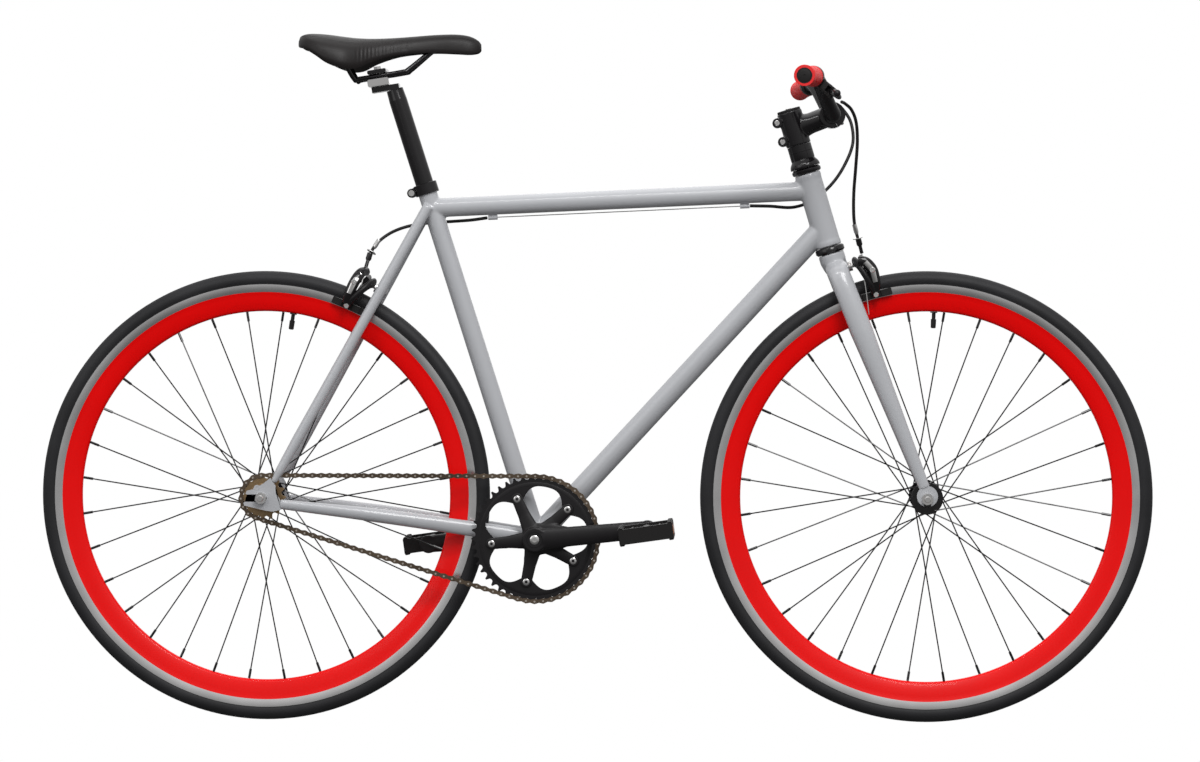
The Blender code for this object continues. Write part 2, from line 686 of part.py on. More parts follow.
def handlebar():
    sizes = [BAR_RADIUS] * 4 + [
        BAR_RADIUS, BAR_CLAMP_RADIUS, BAR_CLAMP_RADIUS, BAR_CLAMP_RADIUS
    ] + [BAR_RADIUS] * 5
    tube("handlebar", bar_route(), sizes, "black_metal", side=(1, 0, 0), origin=BAR_CENTRE)
    for word, sign in (("right", -1), ("left", 1)):
        inner = bar_point(sign * (BAR_HALF_WIDTH - GRIP_LENGTH))
        outer = bar_point(sign * (BAR_HALF_WIDTH + 0.004))
        grip = cylinder(f"grip_{word}", inner, outer, GRIP_RADIUS, "red_rubber")
        room = bar_point(sign * (BAR_HALF_WIDTH + 0.0004))
        start = inner + (inner - outer) * 0.2
        cut(
            grip,
            cylinder(
                f"grip_{word}_cut", start, room, (BAR_RADIUS + GAP) / math.cos(math.pi / SIDES),
                "red_rubber"
            )
        )


def brake_levers():
    for word, sign in (("right", -1), ("left", 1)):
        place = bar_point(sign * PERCH_Y)
        pivot = Vector((LEVER_PIVOT.x, sign * LEVER_PIVOT.y, LEVER_PIVOT.z))
        axis = (bar_point(sign * (PERCH_Y + 0.02)) - place).normalized()
        perch = cylinder(
            f"lever_bracket_{word}", place - axis * 0.007, place + axis * 0.007, 0.0155, "black_metal"
        )
        arm = block(
            f"lever_bracket_{word}_arm", place + LEVER_DROP * 0.020 - Y_AXIS * (sign * 0.010), LEVER_DROP,
            Y_AXIS,
            (0.010, 0.006, 0.007), "black_metal",
        )
        nose = cylinder(
            f"lever_bracket_{word}_nose", pivot - Y_AXIS * (sign * 0.004) - LEVER_DROP * 0.008,
            pivot - Y_AXIS * (sign * 0.026) - LEVER_DROP * 0.008, 0.0065, "black_metal", sides=12,
        )
        unite(perch, arm, nose)
        hole = cylinder(
            f"lever_bracket_{word}_cut", place - axis * 0.02, place + axis * 0.02,
            (BAR_RADIUS + GAP) / math.cos(math.pi / SIDES)
        )
        room = cylinder(
            f"lever_bracket_{word}_room", pivot - LEVER_NORMAL * 0.0046, pivot + LEVER_NORMAL * 0.0046,
            LEVER_ROOM, "black_metal", sides=12
        )
        cut(perch, hole, room)
        out = Y_AXIS * sign
        route = [
            pivot, pivot + out * 0.018 + LEVER_DROP * 0.006, pivot + out * 0.045 + LEVER_DROP * 0.012,
            pivot + out * 0.080 + LEVER_DROP * 0.006, pivot + out * 0.105 + LEVER_DROP * 0.009,
        ]
        tube(
            f"brake_lever_{word}", route,
            [(0.006, 0.0040), (0.0060, 0.0040), (0.0050, 0.0040), (0.0050, 0.0040), (0.0055, 0.0045)],
            "black_metal", side=LEVER_DROP, sides=10, origin=pivot,
        )


def sprocket(name, teeth, pitch_radius, y, half_width, bore, colour, centre):
    """A toothed disc: the teeth stay inside the chain's inner side."""
    tip = pitch_radius - CHAIN_HALF_HEIGHT - 2 * GAP
    root = tip - 0.0035
    outline = []
    for k in range(teeth):
        for share, radius in ((-0.30, root), (-0.12, tip), (0.12, tip), (0.30, root)):
            turn = 2 * math.pi * (k + share) / teeth
            outline.append((centre.x + radius * math.cos(turn), centre.z + radius * math.sin(turn)))
    disc = plate(name, outline, y - half_width, y + half_width, colour, Vector((centre.x, 0.0, centre.z)))
    hole = cylinder(
        f"{name}_bore_cut", (centre.x, y - 0.02, centre.z), (centre.x, y + 0.02, centre.z), bore, colour,
        sides=24
    )
    return cut(disc, hole)


def drivetrain():
    sprocket(
        "chainring", CHAINRING_TEETH, CHAINRING_PITCH_RADIUS, -CHAINLINE, 0.0013, 0.056, "black_metal", BB
    )
    disc = sprocket(
        "freewheel", SPROCKET_TEETH, SPROCKET_PITCH_RADIUS, -CHAINLINE, 0.0013, HUB_RADIUS + GAP,
        "bronze", REAR_AXLE
    )
    body = turned(
        "freewheel_body", REAR_AXLE, -Y_AXIS,
        [
            (HUB_RADIUS + GAP, CHAINLINE - 0.006), (0.0205, CHAINLINE - 0.006),
            (0.0205, CHAINLINE + 0.007), (HUB_RADIUS + GAP, CHAINLINE + 0.007)
        ],
        "bronze", steps=24, hollow=True,
    )
    unite(disc, body)
    spindle_end = CRANK_Y - 0.004
    cylinder(
        "crank_spindle", BB - Y_AXIS * spindle_end, BB + Y_AXIS * spindle_end, SPINDLE_RADIUS, "chrome",
        sides=12, origin=BB
    )
    for word, sign in (("right", -1), ("left", 1)):
        crank(word, sign)
        pedal(word, sign)


def crank_end(sign):
    turn = CRANK_ANGLE if sign < 0 else CRANK_ANGLE + math.pi
    return BB + Vector((CRANK_LENGTH * math.cos(turn), 0.0, CRANK_LENGTH * math.sin(turn)))


def crank(word, sign):
    black = "black_metal"
    tip = crank_end(sign)
    near = Y_AXIS * (sign * (CRANK_Y - 0.007))
    far = Y_AXIS * (sign * (CRANK_Y + 0.008))
    hub = cylinder(f"crank_{word}", BB + near, BB + far, 0.0185, black, sides=24, origin=BB)
    middle = Y_AXIS * (sign * (CRANK_Y + 0.001))
    shift = Y_AXIS * (sign * 0.007)
    arm = tube(
        f"crank_{word}_arm",
        [BB + middle, BB.lerp(tip, 0.25) + middle + shift * 0.3, tip + middle + shift],
        [(0.0070, 0.0175), (0.0065, 0.0150), (0.0060, 0.0132)], black,
    )
    boss = cylinder(
        f"crank_{word}_boss", tip + middle + shift * 0.2, tip + middle + shift * 1.8, 0.0140, black
    )
    unite(hub, arm, boss)
    if sign < 0:
        for k in range(5):
            turn = SPIDER_FIRST_ANGLE + 2 * math.pi * k / 5
            out = Vector((math.cos(turn), 0.0, math.sin(turn)))
            start = BB + Y_AXIS * (-CHAINLINE - 0.010) + out * 0.010
            end = BB + Y_AXIS * (-CHAINLINE - 0.0045) + out * (BOLT_CIRCLE_RADIUS + 0.004)
            spoke = tube(
                f"spider_arm_{k}", [start, end], [(0.0048, 0.0135), (0.0026, 0.0085)], black, sides=8
            )
            unite(hub, spoke)
        rim_cut = cylinder(
            "spider_back_cut", BB - Y_AXIS * (CHAINLINE + 0.0013 + GAP), BB - Y_AXIS * 0.02, 0.090, black,
            sides=24
        )
        cut(hub, rim_cut)
    hole = cylinder(
        f"crank_{word}_cut", BB + near * 0.5, BB + Y_AXIS * (sign * (CRANK_Y - 0.0035)),
        SPINDLE_RADIUS + GAP * 2, black, sides=12
    )
    cut(hub, hole)


def pedal(word, sign):
    """Spindle barrel, two cage plates and end bars, drawn round the pedal's own axis."""
    axis = crank_end(sign)
    start = CRANK_Y + 0.001 + 0.007 * 1.8 + GAP * 2
    body = cylinder(
        f"pedal_{word}", axis + Y_AXIS * (sign * start), axis + Y_AXIS * (sign * (start + PEDAL_LENGTH)),
        0.0095, "black_plastic", sides=12,
        origin=axis,
    )
    tilt = math.radians(8.0)
    fore = Vector((math.cos(tilt), 0.0, math.sin(tilt)))
    for end, along in (("inner", 0.014), ("outer", PEDAL_LENGTH - 0.004)):
        unite(body, block(
            f"pedal_{word}_{end}", axis + Y_AXIS * (
                sign * (start + along)
            ), fore, Y_AXIS, (0.036, 0.004, 0.0120), "black_plastic"
        ))
    for side, direction in (("front", 1), ("back", -1)):
        centre = axis + Y_AXIS * (sign * (start + PEDAL_LENGTH / 2 + 0.005)) + fore * (direction * 0.036)
        unite(
            body,
            block(
                f"pedal_{word}_{side}", centre, fore, Y_AXIS, (0.0045, PEDAL_LENGTH / 2 - 0.005, 0.0135),
                "black_plastic"
            )
        )


def tangent_turns(big, small, big_radius, small_radius):
    """The angle at which a belt's upper and lower straights touch two wheels."""
    line = math.atan2(small.z - big.z, small.x - big.x)
    open_turn = math.acos((big_radius - small_radius) / math.hypot(small.x - big.x, small.z - big.z))
    return line - open_turn, line + open_turn


def chain_outline(offset):
    """The loop round the chainring and the sprocket at an offset from the pitch line."""
    big, small = CHAINRING_PITCH_RADIUS + offset, SPROCKET_PITCH_RADIUS + offset
    upper, lower = tangent_turns(BB, REAR_AXLE, big, small)
    outline = []
    around = 2 * math.pi - (lower - upper)
    for k in range(33):
        turn = upper - around * k / 32
        outline.append((BB.x + big * math.cos(turn), BB.z + big * math.sin(turn)))
    for k in range(13):
        turn = lower - (lower - upper) * k / 12
        outline.append((REAR_AXLE.x + small * math.cos(turn), REAR_AXLE.z + small * math.sin(turn)))
    return outline


def chain():
    bm = bmesh.new()
    loops = []
    flat = 1.003
    for offset, y in (
        (CHAIN_HALF_HEIGHT * flat, -0.5), (CHAIN_HALF_HEIGHT * flat, 0.5),
        (-CHAIN_HALF_HEIGHT * 0.97, 0.5), (-CHAIN_HALF_HEIGHT * 0.97, -0.5),
    ):
        loops.append(
            [bm.verts.new((x, -CHAINLINE + y * CHAIN_WIDTH, z)) for x, z in chain_outline(offset)]
        )
    for low, high in zip(loops, loops[1:] + loops[:1]):
        bridge(bm, low, high)
    finish("chain", bm, "bronze")


FRONT_PAD_TURN = math.radians(104.1)
REAR_PAD_TURN = math.radians(66.4)
PAD_TRACK_RADIUS = RIM_RADIUS - 0.0062
PAD_CLEARANCE = 0.0020
FRONT_BRAKE_SEAT = 0.0195
REAR_BRAKE_SEAT = 0.0065
STAY_LINE = (stay_at(1, 0.0) - stay_at(1, 1.0)).normalized()
REAR_BRAKE_UP = Vector((STAY_LINE.x, 0.0, STAY_LINE.z)).normalized()
REAR_BRAKE_OUT = Vector((-REAR_BRAKE_UP.z, 0.0, REAR_BRAKE_UP.x))


def pad_point(centre, turn):
    return centre + Vector((PAD_TRACK_RADIUS * math.cos(turn), 0.0, PAD_TRACK_RADIUS * math.sin(turn)))


def caliper(word, carrier, base, up, out, seat, centre, turn):
    """A centre bolt and two arms on it, each carrying its pad beside the rim."""
    black = "black_metal"
    pad = pad_point(centre, turn)
    along_track = Vector((-math.sin(turn), 0.0, math.cos(turn)))
    bolt = cylinder(
        f"{word}_brake_bolt", base + out * (seat - 0.004), base + out * (seat + 0.006), 0.0045, "chrome",
        sides=12
    )
    unite(carrier, bolt)
    pad_out, pad_up = (pad - base).dot(out), (pad - base).dot(up)
    for side_word, sign, plane in (("right", -1, seat + 0.0113), ("left", 1, seat + 0.0218)):
        reach = pad_out - plane
        places = [
            (plane, 0.002, -0.010), (plane, 0.004, 0.012), (plane + reach * 0.3, -0.006, 0.029),
            (plane + reach * 0.7, pad_up * 0.55, 0.0330), (pad_out, pad_up + 0.002, 0.0245),
        ]
        route = [base + out * a + up * b + Y_AXIS * (sign * y) for a, b, y in places]
        sizes = [(0.0045, 0.0065), (0.0050, 0.0080), (0.0050, 0.0070), (0.0050, 0.0060), (0.0060, 0.0060)]
        arm = tube(f"{word}_brake_arm_{side_word}", route, sizes, black, side=out, sides=12, origin=base)
        half = 0.0035
        face = RIM_WIDTH / 2 + PAD_CLEARANCE
        shoe = block(
            f"{word}_brake_pad_{side_word}", pad + Y_AXIS * (sign * (face + half)), along_track, Y_AXIS,
            (0.0250, half, 0.0055), "black_plastic",
        )
        unite(arm, shoe)


def brakes():
    caliper(
        "front", bpy.data.objects["fork"], FORK_BRAKE, STEER_AXIS, REACH_AXIS, FRONT_BRAKE_SEAT,
        FRONT_AXLE, FRONT_PAD_TURN
    )
    caliper(
        "rear", bpy.data.objects["brake_bridge"], BRIDGE, REAR_BRAKE_UP, REAR_BRAKE_OUT, REAR_BRAKE_SEAT,
        REAR_AXLE, REAR_PAD_TURN
    )


RAIL_TILT = math.radians(9.0)
RAIL_LINE = Vector((math.cos(RAIL_TILT), 0.0, math.sin(RAIL_TILT)))
RAIL_UP = Vector((-math.sin(RAIL_TILT), 0.0, math.cos(RAIL_TILT)))
RAIL_RADIUS = 0.0035
RAIL_Y = 0.022
POST_TOP = SEAT_TOP + SEAT_AXIS * SEATPOST_SHOWN
RAIL_CENTRE = POST_TOP + Vector((-0.0238, 0.0, 0.0193))


def rail_route(sign):
    y = sign * RAIL_Y
    return [
        RAIL_CENTRE + Vector((-0.052, y * 1.6, 0.026)), RAIL_CENTRE + Vector((-0.046, y * 1.5, 0.016)),
        RAIL_CENTRE + RAIL_LINE * -0.034 + Y_AXIS * y * 1.15,
        RAIL_CENTRE + RAIL_LINE * -0.026 + Y_AXIS * y,
        RAIL_CENTRE + RAIL_LINE * 0.036 + Y_AXIS * y,
        RAIL_CENTRE + RAIL_LINE * 0.048 + Y_AXIS * y * 0.9 + RAIL_UP * 0.003,
        RAIL_CENTRE + Vector((0.078, y * 0.5, 0.036)), RAIL_CENTRE + Vector((0.088, y * 0.4, 0.041)),
    ]


def seat_parts():
    black = "black_metal"
    post = cylinder(
        "seatpost", SEAT_TOP - SEAT_AXIS * SEATPOST_HIDDEN, POST_TOP, SEATPOST_RADIUS, black, origin=SEAT_TOP
    )
    seat_low = RAIL_RADIUS + GAP
    clamp_half, head_half = 0.0055, 0.0045
    clamp_middle = -(seat_low + clamp_half)
    head_middle = clamp_middle - clamp_half - GAP - head_half
    unite(
        post,
        block(
            "seatpost_head", RAIL_CENTRE + RAIL_LINE * 0.008 + RAIL_UP * head_middle, RAIL_LINE, Y_AXIS,
            (0.021, 0.014, head_half), black
        )
    )
    clamp = block(
        "saddle_clamp", RAIL_CENTRE + RAIL_UP * clamp_middle, RAIL_LINE, Y_AXIS,
        (0.016, RAIL_Y + 0.006, clamp_half), "chrome"
    )
    upper = block(
        "saddle_clamp_upper", RAIL_CENTRE + RAIL_UP * (seat_low + 0.003), RAIL_LINE, Y_AXIS,
        (0.014, RAIL_Y + 0.006, 0.003), black
    )
    bolt = cylinder(
        "saddle_clamp_bolt", RAIL_CENTRE - RAIL_UP * 0.008, RAIL_CENTRE + RAIL_UP * 0.016, 0.0045,
        "chrome", sides=12
    )
    unite(clamp, upper, bolt)
    rails = tube("saddle_rails", rail_route(-1), [RAIL_RADIUS] * 8, black, side=Y_AXIS, sides=10)
    unite(rails, tube("saddle_rail_left", rail_route(1), [RAIL_RADIUS] * 8, black, side=Y_AXIS, sides=10))
    nose = RAIL_CENTRE + Vector((0.086, 0.0, 0.0400))
    unite(
        rails, block("saddle_nose_bridge", nose, (1, 0, 0), Y_AXIS, (0.005, RAIL_Y * 0.4, 0.003), black)
    )
    saddle()


# Stations along the saddle from tail to nose: x from the rail centre, top, lower edge, half width
SADDLE_STATIONS = [
    (-0.1170, 0.0550, 0.0440, 0.026), (-0.1130, 0.0600, 0.0410, 0.045), (-0.1030, 0.0628, 0.0380, 0.060),
    (-0.0880, 0.0630, 0.0290, 0.070), (-0.0700, 0.0615, 0.0170, 0.0745),
    (-0.0480, 0.0585, 0.0095, 0.0730),
    (-0.0280, 0.0565, 0.0100, 0.0630), (-0.0050, 0.0560, 0.0200, 0.0480),
    (0.0250, 0.0572, 0.0290, 0.0350),
    (0.0550, 0.0595, 0.0330, 0.0260), (0.0850, 0.0618, 0.0345, 0.0215), (0.1150, 0.0625, 0.0335, 0.0200),
    (0.1350, 0.0600, 0.0325, 0.0180), (0.1480, 0.0540, 0.0340, 0.0130), (0.1530, 0.0480, 0.0380, 0.0070),
]
# Half section of the saddle: share of the half width, share of the height between edge and top
SADDLE_SECTION = [
    (0.0, 0.96), (0.14, 1.0), (0.45, 0.99), (0.72, 0.90), (0.90, 0.68), (0.99, 0.36), (1.0, 0.10),
    (0.96, 0.0),
    (0.84, 0.10), (0.45, 0.42), (0.0, 0.50),
]


def saddle():
    """The cushion: crowned, drawn in at the waist, with a shallow channel on top and a hollow below."""
    bm = bmesh.new()
    loops = []
    for x, top, low, half in SADDLE_STATIONS:
        right = [(-y * half, low + (top - low) * h) for y, h in SADDLE_SECTION]
        left = [(-y, z) for y, z in reversed(right[1:-1])]
        loops.append([bm.verts.new(RAIL_CENTRE + Vector((x, y, z))) for y, z in right + left])
    for low, high in zip(loops, loops[1:]):
        bridge(bm, low, high)
    bm.faces.new(loops[0])
    bm.faces.new(loops[-1])
    cushion = finish("saddle", bm, "black_leather")
    for word, sign in (("right", -1), ("left", 1)):
        cut(
            cushion,
            tube(
                f"saddle_rail_{word}_cut", rail_route(sign), [RAIL_RADIUS + 0.0006] * 8, "black_leather",
                sides=10
            )
        )
    nose = RAIL_CENTRE + Vector((0.086, 0.0, 0.0400))
    cut(
        cushion,
        block(
            "saddle_bridge_cut", nose, (1, 0, 0), Y_AXIS, (0.0056, RAIL_Y * 0.4 + 0.0006, 0.0036),
            "black_leather"
        )
    )
    room = RAIL_CENTRE + RAIL_UP * 0.012
    cut(
        cushion,
        block(
            "saddle_clamp_cut", room, RAIL_LINE, Y_AXIS, (0.022, RAIL_Y + 0.010, 0.0065), "black_leather"
        )
    )


CABLE_RADIUS = 0.0025
WIRE_RADIUS = 0.0009


def smooth_route(points, steps):
    """Reads a smooth curve through hand-placed points at even steps between each pair."""
    points = [Vector(p) for p in points]
    padded = [points[0] * 2 - points[1]] + points + [points[-1] * 2 - points[-2]]
    found = []
    for a, b, c, d in zip(padded, padded[1:], padded[2:], padded[3:]):
        for k in range(steps):
            t = k / steps
            found.append(
                0.5 * (
                    (2 * b) + (c - a) * t + (
                        2 * a - 5 * b + 4 * c - d
                    ) * t ** 2 + (3 * b - a - 3 * c + d) * t ** 3
                )
            )
    return found + [points[-1]]


def cable(name, points, radius, colour="black_plastic", steps=2):
    curve = bpy.data.curves.new(name, "CURVE")
    curve.dimensions = "3D"
    curve.bevel_depth = radius
    curve.bevel_resolution = 2
    curve.use_fill_caps = True
    route = smooth_route(points, steps)
    spline = curve.splines.new("POLY")
    spline.points.add(len(route) - 1)
    for point, place in zip(spline.points, route):
        point.co = (*place, 1.0)
    curve.materials.append(material(colour))
    obj = bpy.data.objects.new(name, curve)
    bpy.context.scene.collection.objects.link(obj)
    return obj


FRONT_CABLE_POINTS = [
    (0.3640, -0.1120, 0.9190), (0.3690, -0.1020, 0.9170), (0.3790, -0.0900, 0.9080),
    (0.3860, -0.0800, 0.8900), (0.3880, -0.0700, 0.8620), (0.3860, -0.0600, 0.8250),
    (0.3835, -0.0500, 0.7880), (0.3835, -0.0450, 0.7560), (0.3860, -0.0420, 0.7350),
    (0.3915, -0.0390, 0.7150), (0.3955, -0.0360, 0.6995),
]
REAR_CABLE_FRONT_POINTS = [
    (0.3640, 0.1120, 0.9190), (0.3690, 0.1020, 0.9170), (0.3820, 0.0900, 0.8960),
    (0.3850, 0.0780, 0.8640), (0.3720, 0.0640, 0.8300), (0.3520, 0.0480, 0.8010),
    (0.3250, 0.0330, 0.7780), (0.2950, 0.0200, 0.7670), (0.2600, 0.0040, 0.7684),
    (0.2306, 0.0000, 0.7689),
]
REAR_CABLE_REAR_POINTS = [
    (-0.1610, 0.0000, 0.7512), (-0.1850, 0.0080, 0.7480), (-0.2150, 0.0240, 0.7460),
    (-0.2500, 0.0360, 0.7440), (-0.2850, 0.0360, 0.7380), (-0.3100, 0.0200, 0.7270),
    (-0.3290, 0.0070, 0.7100), (-0.3385, 0.0000, 0.6900), (-0.3430, -0.0040, 0.6750),
]


def cables():
    cable("front_cable", FRONT_CABLE_POINTS, CABLE_RADIUS)
    cable("rear_cable_front", REAR_CABLE_FRONT_POINTS, CABLE_RADIUS)
    cable("rear_cable_rear", REAR_CABLE_REAR_POINTS, CABLE_RADIUS)


clear_scene()
main_triangle()
stays()
small_frame_parts()
wheel("front", FRONT_AXLE, FRONT_FLANGE_Y, FRONT_SPACING)
wheel("rear", REAR_AXLE, REAR_FLANGE_Y, REAR_SPACING)
fork()
cockpit()
handlebar()
brake_levers()
drivetrain()
chain()
brakes()
seat_parts()
cables()
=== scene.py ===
"""The single-speed bicycle's looks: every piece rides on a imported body. Metres, +X forward, +Z up."""

import json
import math
import random

import bmesh
import bpy
from mathutils import Matrix, Vector


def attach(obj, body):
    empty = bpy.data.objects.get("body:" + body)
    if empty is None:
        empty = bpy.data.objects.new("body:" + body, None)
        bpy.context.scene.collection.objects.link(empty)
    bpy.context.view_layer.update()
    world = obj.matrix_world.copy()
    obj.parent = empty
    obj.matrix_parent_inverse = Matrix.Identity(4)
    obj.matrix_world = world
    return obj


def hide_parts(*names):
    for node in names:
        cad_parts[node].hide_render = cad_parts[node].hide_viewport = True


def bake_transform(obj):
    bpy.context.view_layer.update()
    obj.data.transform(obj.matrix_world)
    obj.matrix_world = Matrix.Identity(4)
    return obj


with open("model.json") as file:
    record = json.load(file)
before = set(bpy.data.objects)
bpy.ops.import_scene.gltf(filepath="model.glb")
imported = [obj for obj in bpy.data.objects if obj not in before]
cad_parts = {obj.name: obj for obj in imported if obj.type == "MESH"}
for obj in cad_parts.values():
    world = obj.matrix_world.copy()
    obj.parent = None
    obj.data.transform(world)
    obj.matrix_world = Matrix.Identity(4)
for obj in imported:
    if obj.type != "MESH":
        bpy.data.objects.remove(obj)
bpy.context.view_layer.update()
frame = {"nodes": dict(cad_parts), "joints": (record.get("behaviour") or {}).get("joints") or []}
random.seed(7)

JOINTS = {joint["name"]: joint for joint in frame["joints"]}
NODES = frame["nodes"]
Y_AXIS = Vector((0.0, 1.0, 0.0))


def joint_point(name):
    return Vector(JOINTS[name]["pos_m"])


def joint_axis(name):
    return Vector(JOINTS[name]["axis"])


FRONT_AXLE = joint_point("front_wheel_spin")
REAR_AXLE = joint_point("rear_wheel_spin")
BB = joint_point("crank_spin")
HEAD_BOTTOM = joint_point("steering_turn")
STEER_AXIS = joint_axis("steering_turn").normalized()
REACH_AXIS = Vector((STEER_AXIS.z, 0.0, -STEER_AXIS.x))
SEAT_AXIS = joint_axis("seatpost_slide").normalized()

# Sizes that the visible surfaces need, in metres
TYRE_RADIUS = 0.336
TYRE_WIDTH = 0.025
RIM_RADIUS = 0.3166
RIM_DEPTH = 0.0406
RIM_WIDTH = 0.022
BRAKE_TRACK = 0.0118
SPOKES_A_SIDE = 16
SPOKE_CROSSES = 3
SPOKE_RADIUS = 0.0010
FLANGE_RADIUS = 0.024
FLANGE_THICKNESS = 0.0034
FLANGE_Y = {"front": 0.036, "rear": 0.031}
SPACING = {"front": 0.100, "rear": 0.120}
FIRST_SPOKE = 0.10
SEAT_TUBE_LENGTH = 0.550
MAIN_TUBE_RADIUS = 0.0143
DOWN_TUBE_RADIUS = 0.0159
HEAD_TUBE_RADIUS = 0.0190
HEAD_TUBE_LENGTH = 0.113
BB_RADIUS = 0.020
BB_WIDTH = 0.068
DROPOUT_THICKNESS = 0.005
STAY_RADIUS = 0.008
POST_ROOM = 0.236
CHAINLINE = 0.042
CHAIN_PITCH = 0.0127
CHAINRING_TEETH = 46
SPROCKET_TEETH = 16
BOLT_CIRCLE_RADIUS = 0.065
SPIDER_FIRST_ANGLE = math.radians(42.3)
SEAT_TOP = BB + SEAT_AXIS * SEAT_TUBE_LENGTH

# The photograph's camera
CAMERA_PLACE = Vector((0.2366, -6.0429, 0.7089))
CAMERA_YAW = -0.0379
CAMERA_PITCH = -0.0332
CAMERA_FOCAL_PIXELS = 4057.96
PHOTO_WIDTH = 1200
SENSOR_WIDTH = 36.0


def camera():
    data = bpy.data.cameras.new("camera")
    data.sensor_width = SENSOR_WIDTH
    data.lens = CAMERA_FOCAL_PIXELS / PHOTO_WIDTH * SENSOR_WIDTH
    obj = bpy.data.objects.new("camera", data)
    bpy.context.scene.collection.objects.link(obj)
    obj.location = CAMERA_PLACE
    obj.rotation_euler = (math.pi / 2 + CAMERA_PITCH, 0.0, -CAMERA_YAW)
    bpy.context.scene.camera = obj


def node_material(
    name, colour, roughness, metallic=0.0, coat=0.0, grain=400.0, bump=0.0, spread=0.04, specular=0.5
):
    """A surface with fine colour variation, uneven gloss and a small grain, all procedural."""
    made = bpy.data.materials.new(name)
    made.use_nodes = True
    tree = made.node_tree
    shader = tree.nodes["Principled BSDF"]
    shader.inputs["Metallic"].default_value = metallic
    shader.inputs["Coat Weight"].default_value = coat
    shader.inputs["Coat Roughness"].default_value = 0.05
    shader.inputs["Specular IOR Level"].default_value = specular
    place = tree.nodes.new("ShaderNodeTexCoord")
    noise = tree.nodes.new("ShaderNodeTexNoise")
    noise.inputs["Scale"].default_value = grain
    noise.inputs["Detail"].default_value = 4.0
    tree.links.new(place.outputs["Object"], noise.inputs["Vector"])
    wide = tree.nodes.new("ShaderNodeTexNoise")
    wide.inputs["Scale"].default_value = 14.0
    wide.inputs["Detail"].default_value = 3.0
    tree.links.new(place.outputs["Object"], wide.inputs["Vector"])
    ramp = tree.nodes.new("ShaderNodeValToRGB")
    ramp.color_ramp.elements[0].position = 0.35
    ramp.color_ramp.elements[0].color = (*[c * (1.0 - spread) for c in colour], 1.0)
    ramp.color_ramp.elements[1].position = 0.65
    ramp.color_ramp.elements[1].color = (*[min(1.0, c * (1.0 + spread)) for c in colour], 1.0)
    tree.links.new(wide.outputs["Fac"], ramp.inputs["Fac"])
    tree.links.new(ramp.outputs["Color"], shader.inputs["Base Color"])
    gloss = tree.nodes.new("ShaderNodeMapRange")
    gloss.inputs["To Min"].default_value = roughness * 0.85
    gloss.inputs["To Max"].default_value = min(1.0, roughness * 1.15)
    tree.links.new(noise.outputs["Fac"], gloss.inputs["Value"])
    tree.links.new(gloss.outputs["Result"], shader.inputs["Roughness"])
    if bump:
        height = tree.nodes.new("ShaderNodeBump")
        height.inputs["Strength"].default_value = bump
        height.inputs["Distance"].default_value = 0.0004
        tree.links.new(noise.outputs["Fac"], height.inputs["Height"])
        tree.links.new(height.outputs["Normal"], shader.inputs["Normal"])
    return made


MATERIALS = {
    "frame_grey": node_material("frame_grey_paint", (0.470, 0.478, 0.500), 0.30, coat=0.5, spread=0.015),
    "red_rim": node_material(
        "red_rim_paint", (0.930, 0.0, 0.0), 0.36, coat=0.10, specular=0.2, spread=0.02
    ),
    "brake_track": node_material(
        "machined_track", (0.80, 0.79, 0.79), 0.22, 1.0, grain=900.0, bump=0.05, spread=0.08
    ),
    "red_grip": node_material("red_grip_rubber", (0.760, 0.012, 0.014), 0.50, grain=700.0, bump=0.15),
    "tyre": node_material(
        "tyre_rubber", (0.022, 0.022, 0.024), 0.55, grain=500.0, bump=0.2, spread=0.15, specular=0.25
    ),
    "black_metal": node_material("black_anodised", (0.007, 0.006, 0.007), 0.15, spread=0.1, specular=0.5),
    "black_satin": node_material(
        "black_satin", (0.010, 0.009, 0.010), 0.40, grain=900.0, bump=0.06, spread=0.1, specular=0.3
    ),
    "black_plastic": node_material(
        "black_plastic", (0.010, 0.009, 0.009), 0.46, grain=800.0, bump=0.12, spread=0.1, specular=0.3
    ),
    "saddle_cover": node_material(
        "saddle_cover", (0.011, 0.009, 0.009), 0.44, grain=1200.0, bump=0.25, spread=0.12, specular=0.3
    ),
    "chrome": node_material("chrome", (0.78, 0.77, 0.76), 0.14, 1.0, spread=0.05),
    "bronze": node_material("bronze_steel", (0.300, 0.205, 0.110), 0.36, 0.85, spread=0.25),
    "chain_steel": node_material("chain_steel", (0.150, 0.112, 0.080), 0.36, 0.85, spread=0.25),
    "rivet": node_material("rivet_steel", (0.75, 0.68, 0.60), 0.25, 1.0, spread=0.1),
    "amber": node_material("amber_reflector", (0.60, 0.16, 0.01), 0.18, coat=0.8, grain=1500.0, bump=0.3),
}


def finish_piece(name, bm, slot, body, replaces=(), smooth=35, look=None):
    """Links a bmesh as a piece that rides on a body and stands for the named nodes."""
    bmesh.ops.recalc_face_normals(bm, faces=bm.faces)
    mesh = bpy.data.meshes.new(name)
    bm.to_mesh(mesh)
    bm.free()
    mesh.shade_smooth()
    mesh.set_sharp_from_angle(angle=math.radians(smooth))
    mesh.materials.append(MATERIALS[look or slot])
    obj = bpy.data.objects.new(name, mesh)
    bpy.context.scene.collection.objects.link(obj)
    if body:
        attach(obj, body)
    if replaces:
        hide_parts(*replaces)
    return obj


def ring(bm, centre, across, up, wide, high, sides):
    turns = [2 * math.pi * k / sides for k in range(sides)]
    return [
        bm.verts.new(centre + across * (wide * math.cos(t)) + up * (high * math.sin(t))) for t in turns
    ]


def bridge(bm, low, high):
    faces = []
    for k, _ in enumerate(low):
        n = (k + 1) % len(low)
        faces.append(bm.faces.new((low[k], low[n], high[n], high[k])))
    return faces


